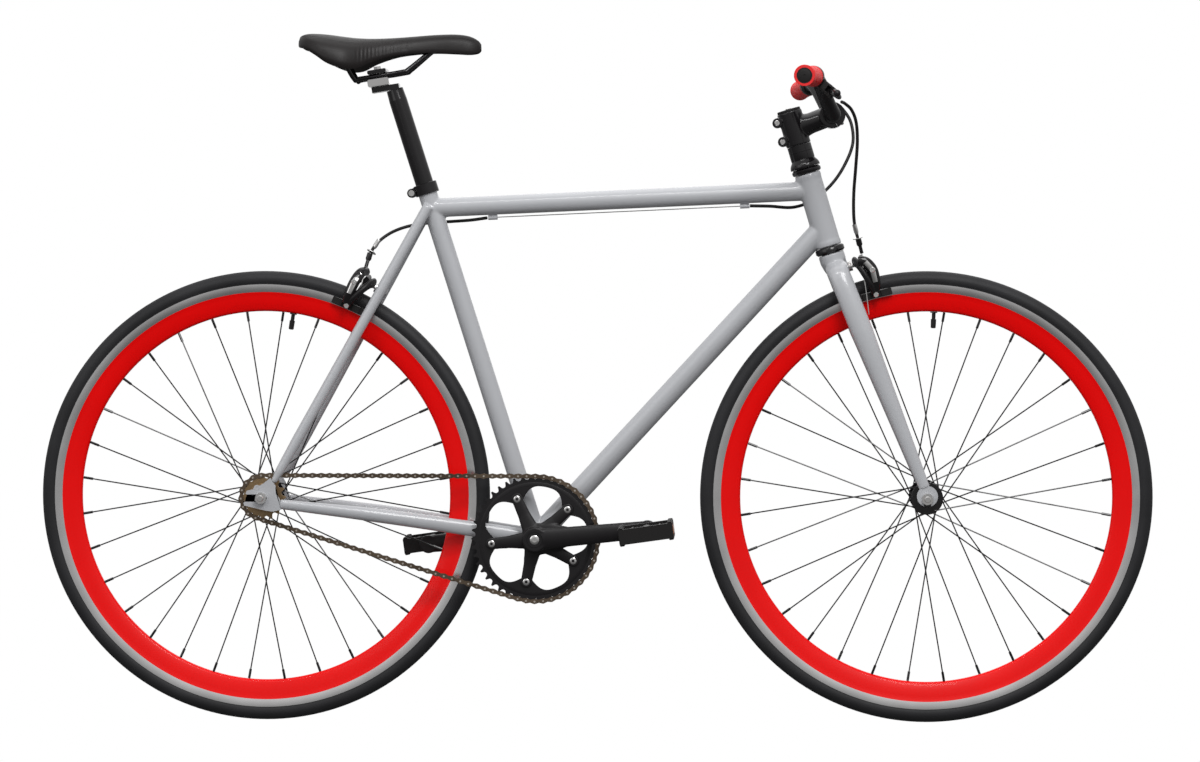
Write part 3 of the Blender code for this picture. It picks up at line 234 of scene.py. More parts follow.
def add_tube(bm, points, sizes, side=Y_AXIS, sides=32):
    """A round or oval tube through points, closed at both ends."""
    points = [Vector(p) for p in points]
    loops = []
    for i, point in enumerate(points):
        tangent = (points[min(i + 1, len(points) - 1)] - points[max(i - 1, 0)]).normalized()
        guide = Vector(side)
        if abs(tangent.dot(guide)) > 0.97:
            guide = Vector((1.0, 0.0, 0.0))
        across = (guide - tangent * guide.dot(tangent)).normalized()
        size = sizes[i] if isinstance(sizes, (list, tuple)) else sizes
        size = size if isinstance(size, tuple) else (size, size)
        loops.append(ring(bm, point, across, tangent.cross(across), size[0], size[1], sides))
    for low, high in zip(loops, loops[1:]):
        bridge(bm, low, high)
    bm.faces.new(loops[0])
    bm.faces.new(loops[-1])


def curve_points(points, steps):
    """Reads a smooth curve through given points."""
    points = [Vector(p) for p in points]
    padded = [points[0] * 2 - points[1]] + points + [points[-1] * 2 - points[-2]]
    found = []
    for a, b, c, d in zip(padded, padded[1:], padded[2:], padded[3:]):
        for k in range(steps):
            t = k / steps
            found.append(
                0.5 * (
                    (2 * b) + (c - a) * t + (
                        2 * a - 5 * b + 4 * c - d
                    ) * t ** 2 + (3 * b - a - 3 * c + d) * t ** 3
                )
            )
    return found + [points[-1]]


def add_turned(bm, centre, section, steps, closed=True, axis=Y_AXIS):
    """Turns (radius, distance along the axis) points about the axis, and returns the rings of faces."""
    axis = Vector(axis).normalized()
    guide = Vector((0.0, 0.0, 1.0)) if abs(axis.z) < 0.9 else Vector((1.0, 0.0, 0.0))
    across = (guide - axis * guide.dot(axis)).normalized()
    up = axis.cross(across)
    loops = [ring(bm, centre + axis * t, across, up, r, r, steps) for r, t in section]
    bands = [bridge(bm, low, high) for low, high in zip(loops, loops[1:] + (loops[:1] if closed else []))]
    if not closed:
        bm.faces.new(loops[0])
        bm.faces.new(loops[-1])
    return bands


def add_plate(bm, outline, y_low, y_high):
    low = [bm.verts.new((x, y_low, z)) for x, z in outline]
    high = [bm.verts.new((x, y_high, z)) for x, z in outline]
    bm.faces.new(low)
    bm.faces.new(high)
    bridge(bm, low, high)


def add_box(bm, centre, along, across, half):
    along, across = Vector(along).normalized(), Vector(across).normalized()
    turn = Matrix(
        (along * half[0], across * half[1], along.cross(across) * half[2])
    ).transposed().to_4x4()
    made = bmesh.ops.create_cube(bm, size=2.0)
    bmesh.ops.transform(bm, matrix=Matrix.Translation(centre) @ turn, verts=made["verts"])


RING_STEPS = 180


def tyre(word, centre, body):
    """Slick road tyre: round crown, a shoulder line each side and a bead that tucks into the rim."""
    half = TYRE_WIDTH / 2 - 0.0001
    middle = TYRE_RADIUS - half
    section = [(RIM_RADIUS - 0.004, -0.0080), (RIM_RADIUS + 0.0004, -0.0088)]
    for k in range(25):
        turn = math.radians(-128 + 256 * k / 24)
        swell = 0.00025 if abs(abs(turn) - math.radians(62)) < math.radians(6) else 0.0
        section.append((middle + (half - swell) * math.cos(turn), (half - swell) * math.sin(turn)))
    section += [(RIM_RADIUS + 0.0004, 0.0088), (RIM_RADIUS - 0.004, 0.0080)]
    bm = bmesh.new()
    add_turned(bm, centre, section, RING_STEPS)
    finish_piece(f"{word}_tyre_rubber", bm, "tyre", body, [f"{word}_tyre"], 50)


def rim(word, centre, body):
    """Deep rim: machined track next to the tyre, then the red painted V."""
    half = RIM_WIDTH / 2
    inner = RIM_RADIUS - RIM_DEPTH
    track = RIM_RADIUS - BRAKE_TRACK
    section = [
        (RIM_RADIUS - 0.0060, -half + 0.0016), (RIM_RADIUS - 0.0004, -half + 0.0016),
        (RIM_RADIUS, -half + 0.0010),
        (RIM_RADIUS - 0.0004, -half), (track, -half), (track - 0.0006, -half + 0.0003),
        (track - 0.008, -half + 0.0014),
        (track - 0.016, -half + 0.0034), (inner + 0.004, -0.0052), (inner + 0.001, -0.0036),
        (inner, -0.0015),
    ]
    section += [(r, -y) for r, y in reversed(section)]
    bm = bmesh.new()
    bands = add_turned(bm, centre, section, RING_STEPS)
    for index in (1, 2, 3, 18, 19, 17):
        for face in bands[index]:
            face.material_index = 1
    obj = finish_piece(f"{word}_rim_wall", bm, "red_rim", body, [f"{word}_rim"], 40)
    obj.data.materials.append(MATERIALS["brake_track"])


def spokes(word, centre, body):
    """Thirty-two round spokes a wheel, laced three-cross, each with its nipple."""
    reach = RIM_RADIUS - RIM_DEPTH - 0.0002
    hole = FLANGE_RADIUS - 0.0035
    lead = 2 * math.pi * SPOKE_CROSSES / SPOKES_A_SIDE
    for side_word, sign, first in (
        ("right", -1, FIRST_SPOKE), ("left", 1, FIRST_SPOKE + math.pi / SPOKES_A_SIDE)
    ):
        bm = bmesh.new()
        flange = FLANGE_Y[word]
        add_turned(
            bm, centre,
            [(0.0139, sign * flange), (FLANGE_RADIUS - 0.0006, sign * flange), (FLANGE_RADIUS, sign * (flange + 0.0006)),
             (FLANGE_RADIUS, sign * (flange + FLANGE_THICKNESS - 0.0006)),
             (FLANGE_RADIUS - 0.0006, sign * (flange + FLANGE_THICKNESS)),
             (0.0139, sign * (flange + FLANGE_THICKNESS))],
            64,
        )
        for k in range(SPOKES_A_SIDE):
            lean = 1 if k % 2 else -1
            start_turn = first + 2 * math.pi * k / SPOKES_A_SIDE
            end_turn = start_turn + lean * lead
            y = flange + FLANGE_THICKNESS / 2 + lean * 0.0014
            start = centre + Vector((hole * math.cos(start_turn), sign * y, hole * math.sin(start_turn)))
            end = centre + Vector((reach * math.cos(end_turn), sign * 0.0012, reach * math.sin(end_turn)))
            add_tube(bm, [start, end], SPOKE_RADIUS, sides=8)
            add_tube(bm, [end.lerp(start, 0.052), end], 0.0019, sides=8)
            head = start + Y_AXIS * (sign * lean * 0.0012)
            add_tube(bm, [head - Y_AXIS * 0.0009, head + Y_AXIS * 0.0009], 0.0021, sides=8)
        finish_piece(
            f"{word}_spokes_{side_word}_wire", bm, "black_metal", body, [f"{word}_spokes_{side_word}"]
        )


def valve(word, centre, body, turn):
    out = Vector((math.cos(turn), 0.0, math.sin(turn)))
    base = centre + out * (RIM_RADIUS - RIM_DEPTH - 0.0002)
    bm = bmesh.new()
    add_tube(bm, [base, base - out * 0.0016], 0.0052, sides=16)
    add_tube(bm, [base, base - out * 0.012], 0.0028, sides=16)
    add_tube(
        bm, [base - out * 0.011, base - out * 0.0235, base - out * 0.0245], [0.0040, 0.0038, 0.0024],
        sides=16
    )
    finish_piece(f"{word}_valve", bm, "black_plastic", body)


def hub(word, centre, body):
    end = SPACING[word] / 2 - 0.006
    flange = FLANGE_Y[word]
    section = [
        (0.0058, -end), (0.0125, -end), (0.0132, -end + 0.0006), (0.0138, -flange),
        (0.0138, -flange + 0.004), (0.0118, -flange + 0.010),
        (0.0118, flange - 0.010), (0.0138, flange - 0.004), (0.0138, flange), (0.0132, end - 0.0006),
        (0.0125, end), (0.0058, end),
    ]
    bm = bmesh.new()
    add_turned(bm, centre, section, 48)
    finish_piece(f"{word}_hub_shell", bm, "black_metal", body, [f"{word}_hub"])


def add_hexagon(bm, centre, radius, y_low, y_high):
    add_plate(
        bm,
        [
            (
                centre.x + radius * math.cos(math.pi * k / 3 + 0.3),
                centre.z + radius * math.sin(math.pi * k / 3 + 0.3)
            ) for k in range(6)
        ],
        min(y_low, y_high), max(y_low, y_high),
    )


def axle(word, centre, body):
    """Threaded axle with washers and hexagon nuts outside the dropouts."""
    bm = bmesh.new()
    past = SPACING[word] / 2 + DROPOUT_THICKNESS + 0.0003
    far = past + 0.013
    section = [(0.0046, -far + 0.0006), (0.0040, -far)]
    threads = [(0.0042 if k % 2 else 0.0047, -far + 0.0012 + 0.0007 * k) for k in range(8)]
    left = [(r, -y) for r, y in reversed(section[::-1] + threads)]
    add_turned(bm, centre, [section[1], section[0]] + threads + left, 24, closed=False)
    for sign in (-1, 1):
        add_hexagon(bm, centre, 0.0086, sign * (past + 0.0018), sign * (past + 0.0088))
        add_turned(
            bm, centre, [
                (0.0046, sign * past), (0.0084, sign * past), (0.0084, sign * (past + 0.0018)),
                (0.0046, sign * (past + 0.0018))
            ], 32
        )
    finish_piece(f"{word}_axle_and_nuts", bm, "chrome", body, [f"{word}_axle"], 30)


def wheels():
    for word, centre, body, holder, turn in (
        ("front", FRONT_AXLE, "front_wheel", "steering", math.radians(90 - 2.3)),
        ("rear", REAR_AXLE, "rear_wheel", "frame", math.radians(90 - 8.7)),
    ):
        tyre(word, centre, body)
        rim(word, centre, body)
        spokes(word, centre, body)
        valve(word, centre, body, turn)
        hub(word, centre, body)
        axle(word, centre, holder)


def mesh_object(name, bm):
    bmesh.ops.recalc_face_normals(bm, faces=bm.faces)
    mesh = bpy.data.meshes.new(name)
    bm.to_mesh(mesh)
    bm.free()
    obj = bpy.data.objects.new(name, mesh)
    bpy.context.scene.collection.objects.link(obj)
    return obj


def welded(bm, voxel, rounds, cutters=()):
    """Melts overlapping solids into one skin with soft joins, then cuts the given bores out of it."""
    obj = mesh_object("weld", bm)
    remesh = obj.modifiers.new("remesh", "REMESH")
    remesh.mode = "VOXEL"
    remesh.voxel_size = voxel
    soften = obj.modifiers.new("soften", "SMOOTH")
    soften.factor = 0.5
    soften.iterations = rounds
    tools = [mesh_object("weld_cutter", cutter) for cutter in cutters]
    for tool in tools:
        cut = obj.modifiers.new("cut", "BOOLEAN")
        cut.operation = "DIFFERENCE"
        cut.solver = "MANIFOLD"
        cut.object = tool
    found = bmesh.new()
    graph = bpy.context.evaluated_depsgraph_get()
    found.from_object(obj, graph)
    for used in [obj] + tools:
        bpy.data.objects.remove(used, do_unlink=True)
    return found


def rod_cutter(start, end, radius, sides=64):
    bm = bmesh.new()
    add_tube(
        bm, [start, end], radius,
        side=Y_AXIS if abs((Vector(end) - Vector(start)).normalized().y) < 0.9 else (1, 0, 0), sides=sides
    )
    return bm


def steer_point(along, reach=0.0, y=0.0):
    return HEAD_BOTTOM + STEER_AXIS * along + REACH_AXIS * reach + Y_AXIS * y


def stay_top(sign):
    return SEAT_TOP - SEAT_AXIS * 0.032 + Vector((-0.004, sign * 0.014, 0.0))


def stay_foot(sign):
    return REAR_AXLE + Vector((0.0185, sign * (SPACING["rear"] / 2 + DROPOUT_THICKNESS / 2), 0.0235))


def stay_at(sign, share):
    return stay_top(sign).lerp(stay_foot(sign), share)


SEAT_JOIN = BB + SEAT_AXIS * 0.515
HEAD_JOIN = HEAD_BOTTOM + STEER_AXIS * 0.0865
DOWN_JOIN = HEAD_BOTTOM + STEER_AXIS * 0.030
BRIDGE = (stay_at(1, 0.310) + stay_at(-1, 0.310)) / 2
STEERER_BORE = 0.0153
WELD_FEATHER = 0.0035


def add_weld_bead(bm, centre, axis, radius, toward):
    """A thin raised collar where a tube meets another: smoothing turns it into a fillet."""
    start = centre + toward * 0.0
    add_tube(bm, [start, start + toward * 0.004], [radius + WELD_FEATHER, radius], side=Y_AXIS, sides=48)


def main_frame():
    """All brazed tubes as one grey skin with soft joins."""
    bm = bmesh.new()
    head_top = HEAD_BOTTOM + STEER_AXIS * HEAD_TUBE_LENGTH
    add_tube(bm, [HEAD_BOTTOM, head_top], HEAD_TUBE_RADIUS, sides=64)
    for low, high in (
        (HEAD_BOTTOM, HEAD_BOTTOM + STEER_AXIS * 0.008), (head_top - STEER_AXIS * 0.008, head_top)
    ):
        add_tube(bm, [low, high], HEAD_TUBE_RADIUS + 0.0006, sides=64)
    add_tube(bm, [BB, SEAT_TOP - SEAT_AXIS * 0.0005], MAIN_TUBE_RADIUS, sides=64)
    add_tube(
        bm, [BB - Y_AXIS * BB_WIDTH / 2, BB + Y_AXIS * BB_WIDTH / 2], BB_RADIUS, side=(1, 0, 0), sides=64
    )
    add_tube(bm, [SEAT_JOIN, HEAD_JOIN], MAIN_TUBE_RADIUS, sides=64)
    add_tube(bm, [BB, DOWN_JOIN], DOWN_TUBE_RADIUS, sides=64)
    middle = SPACING["rear"] / 2 + DROPOUT_THICKNESS / 2
    for sign in (-1, 1):
        path = [
            BB + Vector((-0.012, sign * 0.022, 0.001)), BB + Vector((-0.070, sign * 0.0265, 0.010)),
            BB + Vector((-0.120, sign * 0.0300, 0.0175)), BB + Vector((-0.240, sign * 0.0450, 0.0350)),
            REAR_AXLE + Vector((0.028, sign * middle, -0.0090)),
        ]
        sizes = [(0.008, 0.0120), (0.0070, 0.0120), (0.0075, 0.0115), (0.009, 0.0105), (0.0050, 0.0075)]
        smooth = curve_points(path, 8)
        between = [
            tuple(
                a + (b - a) * (k / 8) for a, b in zip(one, two)
            ) for one, two in zip(sizes, sizes[1:]) for k in range(8)
        ] + [sizes[-1]]
        add_tube(bm, smooth, between, sides=32)
        add_tube(
            bm, [stay_top(sign), stay_at(sign, 0.85), stay_at(sign, 0.96), stay_foot(sign)],
            [STAY_RADIUS, STAY_RADIUS, 0.0068, 0.0040], sides=32
        )
    add_tube(bm, [stay_at(-1, 0.310), stay_at(1, 0.310)], 0.0065, side=(1, 0, 0), sides=32)
    skin = welded(
        bm, 0.0013, 14,
        [rod_cutter(HEAD_BOTTOM - STEER_AXIS * 0.01, head_top + STEER_AXIS * 0.01, STEERER_BORE),
         rod_cutter(SEAT_TOP - SEAT_AXIS * POST_ROOM, SEAT_TOP + SEAT_AXIS * 0.01, 0.01375)],
    )
    finish_piece(
        "welded_frame", skin, "frame_grey", "frame",
        ["head_tube", "top_tube", "down_tube", "seat_tube", "bottom_bracket_shell", "chainstay_right", "chainstay_left",
         "seatstay_right", "seatstay_left", "brake_bridge"], 50,
    )


def rear_dropouts():
    """Five-millimetre plates with the rear-opening slot and the eyelet."""
    x, z = REAR_AXLE.x, REAR_AXLE.z
    slot = 0.0054
    outline = [
        (x + 0.030, z - 0.017), (x + 0.028, z - 0.002), (x + 0.022, z + 0.008), (x + 0.0215, z + 0.018),
        (x + 0.014, z + 0.030), (x + 0.004, z + 0.022), (x - 0.002, z + 0.0185), (x - 0.008, z + 0.0190),
        (x - 0.012, z + 0.0130), (x - 0.021, z + 0.0110), (x - 0.023, z + slot + 0.001),
        (x - 0.021, z + slot),
        (x + 0.004, z + slot), (x + 0.0075, z + slot * 0.7), (x + 0.0090, z),
        (x + 0.0075, z - slot * 0.7),
        (x + 0.004, z - slot), (x - 0.024, z - slot), (x - 0.026, z - slot - 0.002),
        (x - 0.025, z - 0.011),
        (x + 0.006, z - 0.0185), (x + 0.018, z - 0.020),
    ]
    for word, sign in (("right", -1), ("left", 1)):
        inner = sign * SPACING["rear"] / 2
        outer = sign * (SPACING["rear"] / 2 + DROPOUT_THICKNESS)
        bm = bmesh.new()
        add_plate(bm, outline, min(inner, outer), max(inner, outer))
        bmesh.ops.triangulate(bm, faces=[f for f in bm.faces if len(f.verts) > 4])
        eye = REAR_AXLE + Vector((-0.0063, 0.0, 0.0155))
        add_turned(
            bm, eye,
            [
                (0.0019, inner), (0.0040, inner), (0.0040, outer + sign * 0.0003),
                (0.0019, outer + sign * 0.0003)
            ],
            24
        )
        finish_piece(f"rear_dropout_plate_{word}", bm, "frame_grey", "frame", [f"dropout_{word}"], 30)


def cable_stops():
    axis = (HEAD_JOIN - SEAT_JOIN).normalized()
    down = Vector((axis.z, 0.0, -axis.x))
    for word, along in (("front", 0.800), ("rear", 0.1373)):
        place = SEAT_JOIN.lerp(HEAD_JOIN, along) + axis * 0.012 + down * (MAIN_TUBE_RADIUS + 0.0038)
        bm = bmesh.new()
        add_tube(bm, [place - axis * 0.007, place + axis * 0.007], 0.0036, sides=24)
        add_box(bm, place - down * 0.0026, axis, Y_AXIS, (0.0062, 0.0022, 0.0014))
        finish_piece(f"cable_stop_boss_{word}", bm, "frame_grey", "frame", [f"cable_stop_{word}"])
    front = SEAT_JOIN.lerp(HEAD_JOIN, 0.80) + axis * 0.005 + down * (MAIN_TUBE_RADIUS + 0.0038)
    rear = SEAT_JOIN.lerp(HEAD_JOIN, 0.1373) + axis * 0.019 + down * (MAIN_TUBE_RADIUS + 0.0038)
    bm = bmesh.new()
    add_tube(bm, [rear, front], 0.0007, sides=8)
    finish_piece("brake_wire_under_top_tube", bm, "chrome", "frame")


def seat_collar():
    low, high = SEAT_TOP - SEAT_AXIS * 0.013, SEAT_TOP + SEAT_AXIS * 0.003
    radius = 0.0179
    back = Vector((-SEAT_AXIS.z, 0.0, SEAT_AXIS.x))
    bm = bmesh.new()
    section = [
        (0.0150, 0.0), (radius - 0.0006, 0.0), (radius, 0.0006), (radius, 0.0154),
        (radius - 0.0006, 0.016), (0.0150, 0.016)
    ]
    add_turned(bm, low, section, 64, axis=SEAT_AXIS)
    ear = low.lerp(high, 0.5) + back * (radius + 0.0045)
    for sign in (-1, 1):
        add_tube(
            bm, [ear + Y_AXIS * (sign * 0.0009), ear + Y_AXIS * (sign * 0.0066)], 0.0068, side=(1, 0, 0),
            sides=32
        )
        add_box(bm, ear - back * 0.004 + Y_AXIS * (sign * 0.0037), back, Y_AXIS, (0.0045, 0.0028, 0.0066))
    collar = finish_piece("seat_collar", bm, "black_metal", "frame", ["seat_clamp"])
    bm = bmesh.new()
    add_tube(bm, [ear - Y_AXIS * 0.0100, ear + Y_AXIS * 0.0080], 0.0026, side=(1, 0, 0), sides=16)
    add_turned(
        bm, ear,
        [(0.0015, -0.0102), (0.0044, -0.0102), (0.0046, -0.0098), (0.0046, -0.0066), (0.0015, -0.0066)],
        24
    )
    finish_piece("seat_collar_bolt", bm, "chrome", "frame")
    return collar


def headset_cups():
    for name, start, axis, lip in (
        ("lower", HEAD_BOTTOM, -STEER_AXIS, 0.0105),
        ("upper", HEAD_BOTTOM + STEER_AXIS * HEAD_TUBE_LENGTH, STEER_AXIS, 0.009)
    ):
        wide = 0.0219
        section = [
            (0.0154, 0.0003), (0.0196, 0.0003), (0.0212, 0.0016), (wide, 0.0026), (wide, lip - 0.0028),
            (wide - 0.0006, lip - 0.0020),
            (0.0200, lip - 0.0010), (0.0196, lip - 0.0001), (0.0154, lip - 0.0001),
        ]
        bm = bmesh.new()
        add_turned(bm, start, section, 72, axis=axis)
        finish_piece(f"headset_{name}_race", bm, "black_metal", "frame", [f"headset_{name}_cup"])


def bracket_cups():
    """Bearing cup faces either side of the bottom bracket shell."""
    for word, sign in (("right", -1), ("left", 1)):
        bm = bmesh.new()
        section = [
            (0.0092, sign * 0.0343), (0.0190, sign * 0.0343), (0.0190, sign * 0.0366),
            (0.0150, sign * 0.0374), (0.0092, sign * 0.0374),
        ]
        add_turned(bm, BB, section, 48)
        finish_piece(f"bracket_cup_{word}", bm, "black_metal", "frame")


CUP_HEIGHT = 0.0105
COVER_BASE = HEAD_TUBE_LENGTH + 0.009 + 0.0003
STEM_SPACER = 0.0350
STEM_HEIGHT = 0.051
STEM_RADIUS = 0.0185
STEM_REACH = 0.0596
STEM_BASE = COVER_BASE + STEM_SPACER
STEM_TOP = STEM_BASE + STEM_HEIGHT
BAR_CENTRE = steer_point(STEM_BASE + STEM_HEIGHT * 0.55, STEM_REACH)
FORK_BRAKE = steer_point(-CUP_HEIGHT - 0.0265)
BAR_RADIUS = 0.0111
BAR_CLAMP_RADIUS = 0.0127
BAR_HALF_WIDTH = 0.285
GRIP_LENGTH = 0.112


def fork():
    """Crown and two straight oval blades as one skin, with the dropout plates and the steerer."""
    race = -CUP_HEIGHT - 0.0003
    bm = bmesh.new()
    add_tube(
        bm,
        [
            steer_point(race - 0.034), steer_point(race - 0.024), steer_point(race - 0.012),
            steer_point(race)
        ],
        [0.0120, 0.0165, 0.0195, 0.0195], sides=64
    )
    for sign in (-1, 1):
        foot = FRONT_AXLE + Vector((-0.004, sign * (SPACING["front"] / 2 + DROPOUT_THICKNESS / 2), 0.016))
        outer = steer_point(race - 0.040, 0.003, sign * 0.032)
        knee = outer.lerp(foot, 0.25) + Y_AXIS * (sign * 0.004)
        path = [steer_point(race - 0.020, 0.001, sign * 0.012), outer, knee, outer.lerp(foot, 0.6), foot]
        sizes = [(0.010, 0.0165), (0.0105, 0.0165), (0.0105, 0.0165), (0.009, 0.0125), (0.0045, 0.0085)]
        between = [
            tuple(
                a + (b - a) * (k / 8) for a, b in zip(one, two)
            ) for one, two in zip(sizes, sizes[1:]) for k in range(8)
        ] + [sizes[-1]]
        add_tube(bm, curve_points(path, 8), between, sides=40)
    add_tube(bm, [FORK_BRAKE + REACH_AXIS * 0.010, FORK_BRAKE + REACH_AXIS * 0.0195], 0.0095, sides=32)
    tyre_room = bmesh.new()
    add_turned(
        tyre_room, FRONT_AXLE,
        [(0.20, -0.0175), (TYRE_RADIUS + 0.004, -0.0175), (TYRE_RADIUS + 0.004, 0.0175), (0.20, 0.0175)],
        180
    )
    skin = welded(bm, 0.0012, 18, [tyre_room])
    finish_piece("fork_blades_and_crown", skin, "frame_grey", "steering", ["fork"], 50)
    bm = bmesh.new()
    add_tube(bm, [steer_point(race - 0.005), steer_point(STEM_TOP - 0.003)], 0.0141, sides=48)
    x, z = FRONT_AXLE.x, FRONT_AXLE.z + 0.004
    slot = 0.0052
    outline = [
        (
            x + 0.0155 * math.cos(math.radians(t)), z + 0.0155 * math.sin(math.radians(t))
        ) for t in range(-70, 251, 10)
    ]
    outline += [(x - slot, z - 0.0145), (x - slot, z - 0.004)]
    outline += [
        (
            x - slot * math.cos(math.radians(t)), z - 0.004 + slot * math.sin(math.radians(t))
        ) for t in range(20, 180, 20)
    ]
    outline += [(x + slot, z - 0.004), (x + slot, z - 0.0145)]
    for sign in (-1, 1):
        y = sign * (SPACING["front"] / 2 + DROPOUT_THICKNESS / 2)
        add_plate(bm, outline, y - DROPOUT_THICKNESS / 2, y + DROPOUT_THICKNESS / 2)
    bmesh.ops.triangulate(bm, faces=[f for f in bm.faces if len(f.verts) > 30])
    finish_piece("fork_tips_and_steerer", bm, "frame_grey", "steering")


def bolt_head(bm, centre, out, radius, height):
    """A socket head: a short cylinder with a sunk hexagon."""
    section = [
        (radius * 0.40, height * 0.35), (radius * 0.44, height), (radius * 0.80, height),
        (radius, height * 0.70), (radius, 0.0), (0.0004, 0.0), (0.0004, height * 0.35)
    ]
    add_turned(bm, centre, section, 24, axis=out)


def stem():
    bm = bmesh.new()
    middle = STEM_BASE + STEM_HEIGHT * 0.55
    add_tube(bm, [steer_point(STEM_BASE), steer_point(STEM_TOP)], STEM_RADIUS, sides=64)
    add_tube(
        bm,
        [
            steer_point(middle - 0.003, 0.004), steer_point(middle - 0.002, 0.026),
            steer_point(middle, STEM_REACH - 0.008)
        ],
        [(0.015, 0.020), (0.0165, 0.0155), (0.018, 0.0155)], sides=48,
    )
    add_tube(
        bm, [BAR_CENTRE - Y_AXIS * 0.021, BAR_CENTRE + Y_AXIS * 0.021], 0.0195, side=(1, 0, 0), sides=64
    )
    for height in (STEM_HEIGHT - 0.011, 0.011):
        ear = steer_point(STEM_BASE + height, -STEM_RADIUS - 0.003)
        add_tube(bm, [ear - Y_AXIS * 0.011, ear + Y_AXIS * 0.011], 0.0075, side=(1, 0, 0), sides=32)
        add_box(bm, ear + REACH_AXIS * 0.006, REACH_AXIS, Y_AXIS, (0.0065, 0.0105, 0.0074))
    front = bmesh.new()
    add_box(front, BAR_CENTRE + REACH_AXIS * 0.0518, REACH_AXIS, Y_AXIS, (0.050, 0.05, 0.05))
    gap = bmesh.new()
    add_box(
        gap, steer_point(STEM_BASE + STEM_HEIGHT / 2, -STEM_RADIUS - 0.008), REACH_AXIS, Y_AXIS,
        (0.012, 0.0009, 0.05)
    )
    skin = welded(
        bm, 0.0009, 5,
        [rod_cutter(steer_point(STEM_BASE - 0.01), steer_point(STEM_TOP + 0.01), 0.0146),
         rod_cutter(BAR_CENTRE - Y_AXIS * 0.05, BAR_CENTRE + Y_AXIS * 0.05, 0.0130), front, gap],
    )
    finish_piece("stem_forging", skin, "black_metal", "steering", ["stem"], 50)
    bolts = bmesh.new()
    for height in (STEM_HEIGHT - 0.011, 0.011):
        bolt_head(
            bolts, steer_point(STEM_BASE + height, -STEM_RADIUS - 0.003, -0.0106), -Y_AXIS, 0.0042, 0.0036
        )
    face = bmesh.new()
    section = [
        (0.0130, -0.021), (0.0190, -0.021), (0.0195, -0.0205), (0.0195, 0.0205), (0.0190, 0.021),
        (0.0130, 0.021)
    ]
    add_turned(face, BAR_CENTRE, section, 96)
    face_skin = mesh_object("face", face)
    back = bmesh.new()
    add_box(back, BAR_CENTRE - REACH_AXIS * 0.0476, REACH_AXIS, Y_AXIS, (0.050, 0.05, 0.05))
    cutter = mesh_object("face_cutter", back)
    cut = face_skin.modifiers.new("cut", "BOOLEAN")
    cut.operation = "DIFFERENCE"
    cut.solver = "MANIFOLD"
    cut.object = cutter
    found = bmesh.new()
    found.from_object(face_skin, bpy.context.evaluated_depsgraph_get())
    for used in (face_skin, cutter):
        bpy.data.objects.remove(used, do_unlink=True)
    finish_piece("stem_bar_clamp_plate", found, "black_metal", "steering", ["stem_faceplate"], 40)
    for y in (-0.0135, 0.0135):
        for rise in (-0.0145, 0.0145):
            bolt_head(
                bolts, BAR_CENTRE + STEER_AXIS * rise + REACH_AXIS * 0.0095 + Y_AXIS * y, REACH_AXIS,
                0.0032, 0.0036
            )
    bolt_head(bolts, steer_point(STEM_TOP + 0.0036), STEER_AXIS, 0.0042, 0.0022)
    finish_piece("stem_bolts", bolts, "chrome", "steering", smooth=30)
    cap = bmesh.new()
    add_turned(
        cap, steer_point(STEM_TOP + 0.0003),
        [(0.0175, 0.0), (0.0175, 0.0028), (0.0168, 0.0036), (0.006, 0.0040), (0.0055, 0.0034)], 64,
        closed=False, axis=STEER_AXIS
    )
    finish_piece("stem_cap", cap, "black_plastic", "steering", ["stem_top_cap"])
    cover = bmesh.new()
    section = [
        (0.0146, 0.0), (0.0222, 0.0), (0.0225, 0.0006), (0.0222, 0.0042), (0.0206, 0.0078),
        (0.0186, 0.0104), (0.0177, 0.0124),
        (0.0180, 0.0135), (0.0180, 0.0238), (0.0176, 0.0240), (0.0180, 0.0243),
        (0.0180, STEM_SPACER - 0.0004), (0.0146, STEM_SPACER - 0.0004),
    ]
    add_turned(cover, steer_point(COVER_BASE), section, 72, axis=STEER_AXIS)
    finish_piece("headset_cone_and_spacer", cover, "black_metal", "steering", ["headset_cover"])


def bar_point(y):
    half = BAR_CENTRE + Vector((-0.0285, 0.150, 0.0515))
    end = BAR_CENTRE + Vector((-0.0445, BAR_HALF_WIDTH, 0.0475))
    found = half.lerp(end, (abs(y) - half.y) / (end.y - half.y))
    return Vector((found.x, y, found.z))


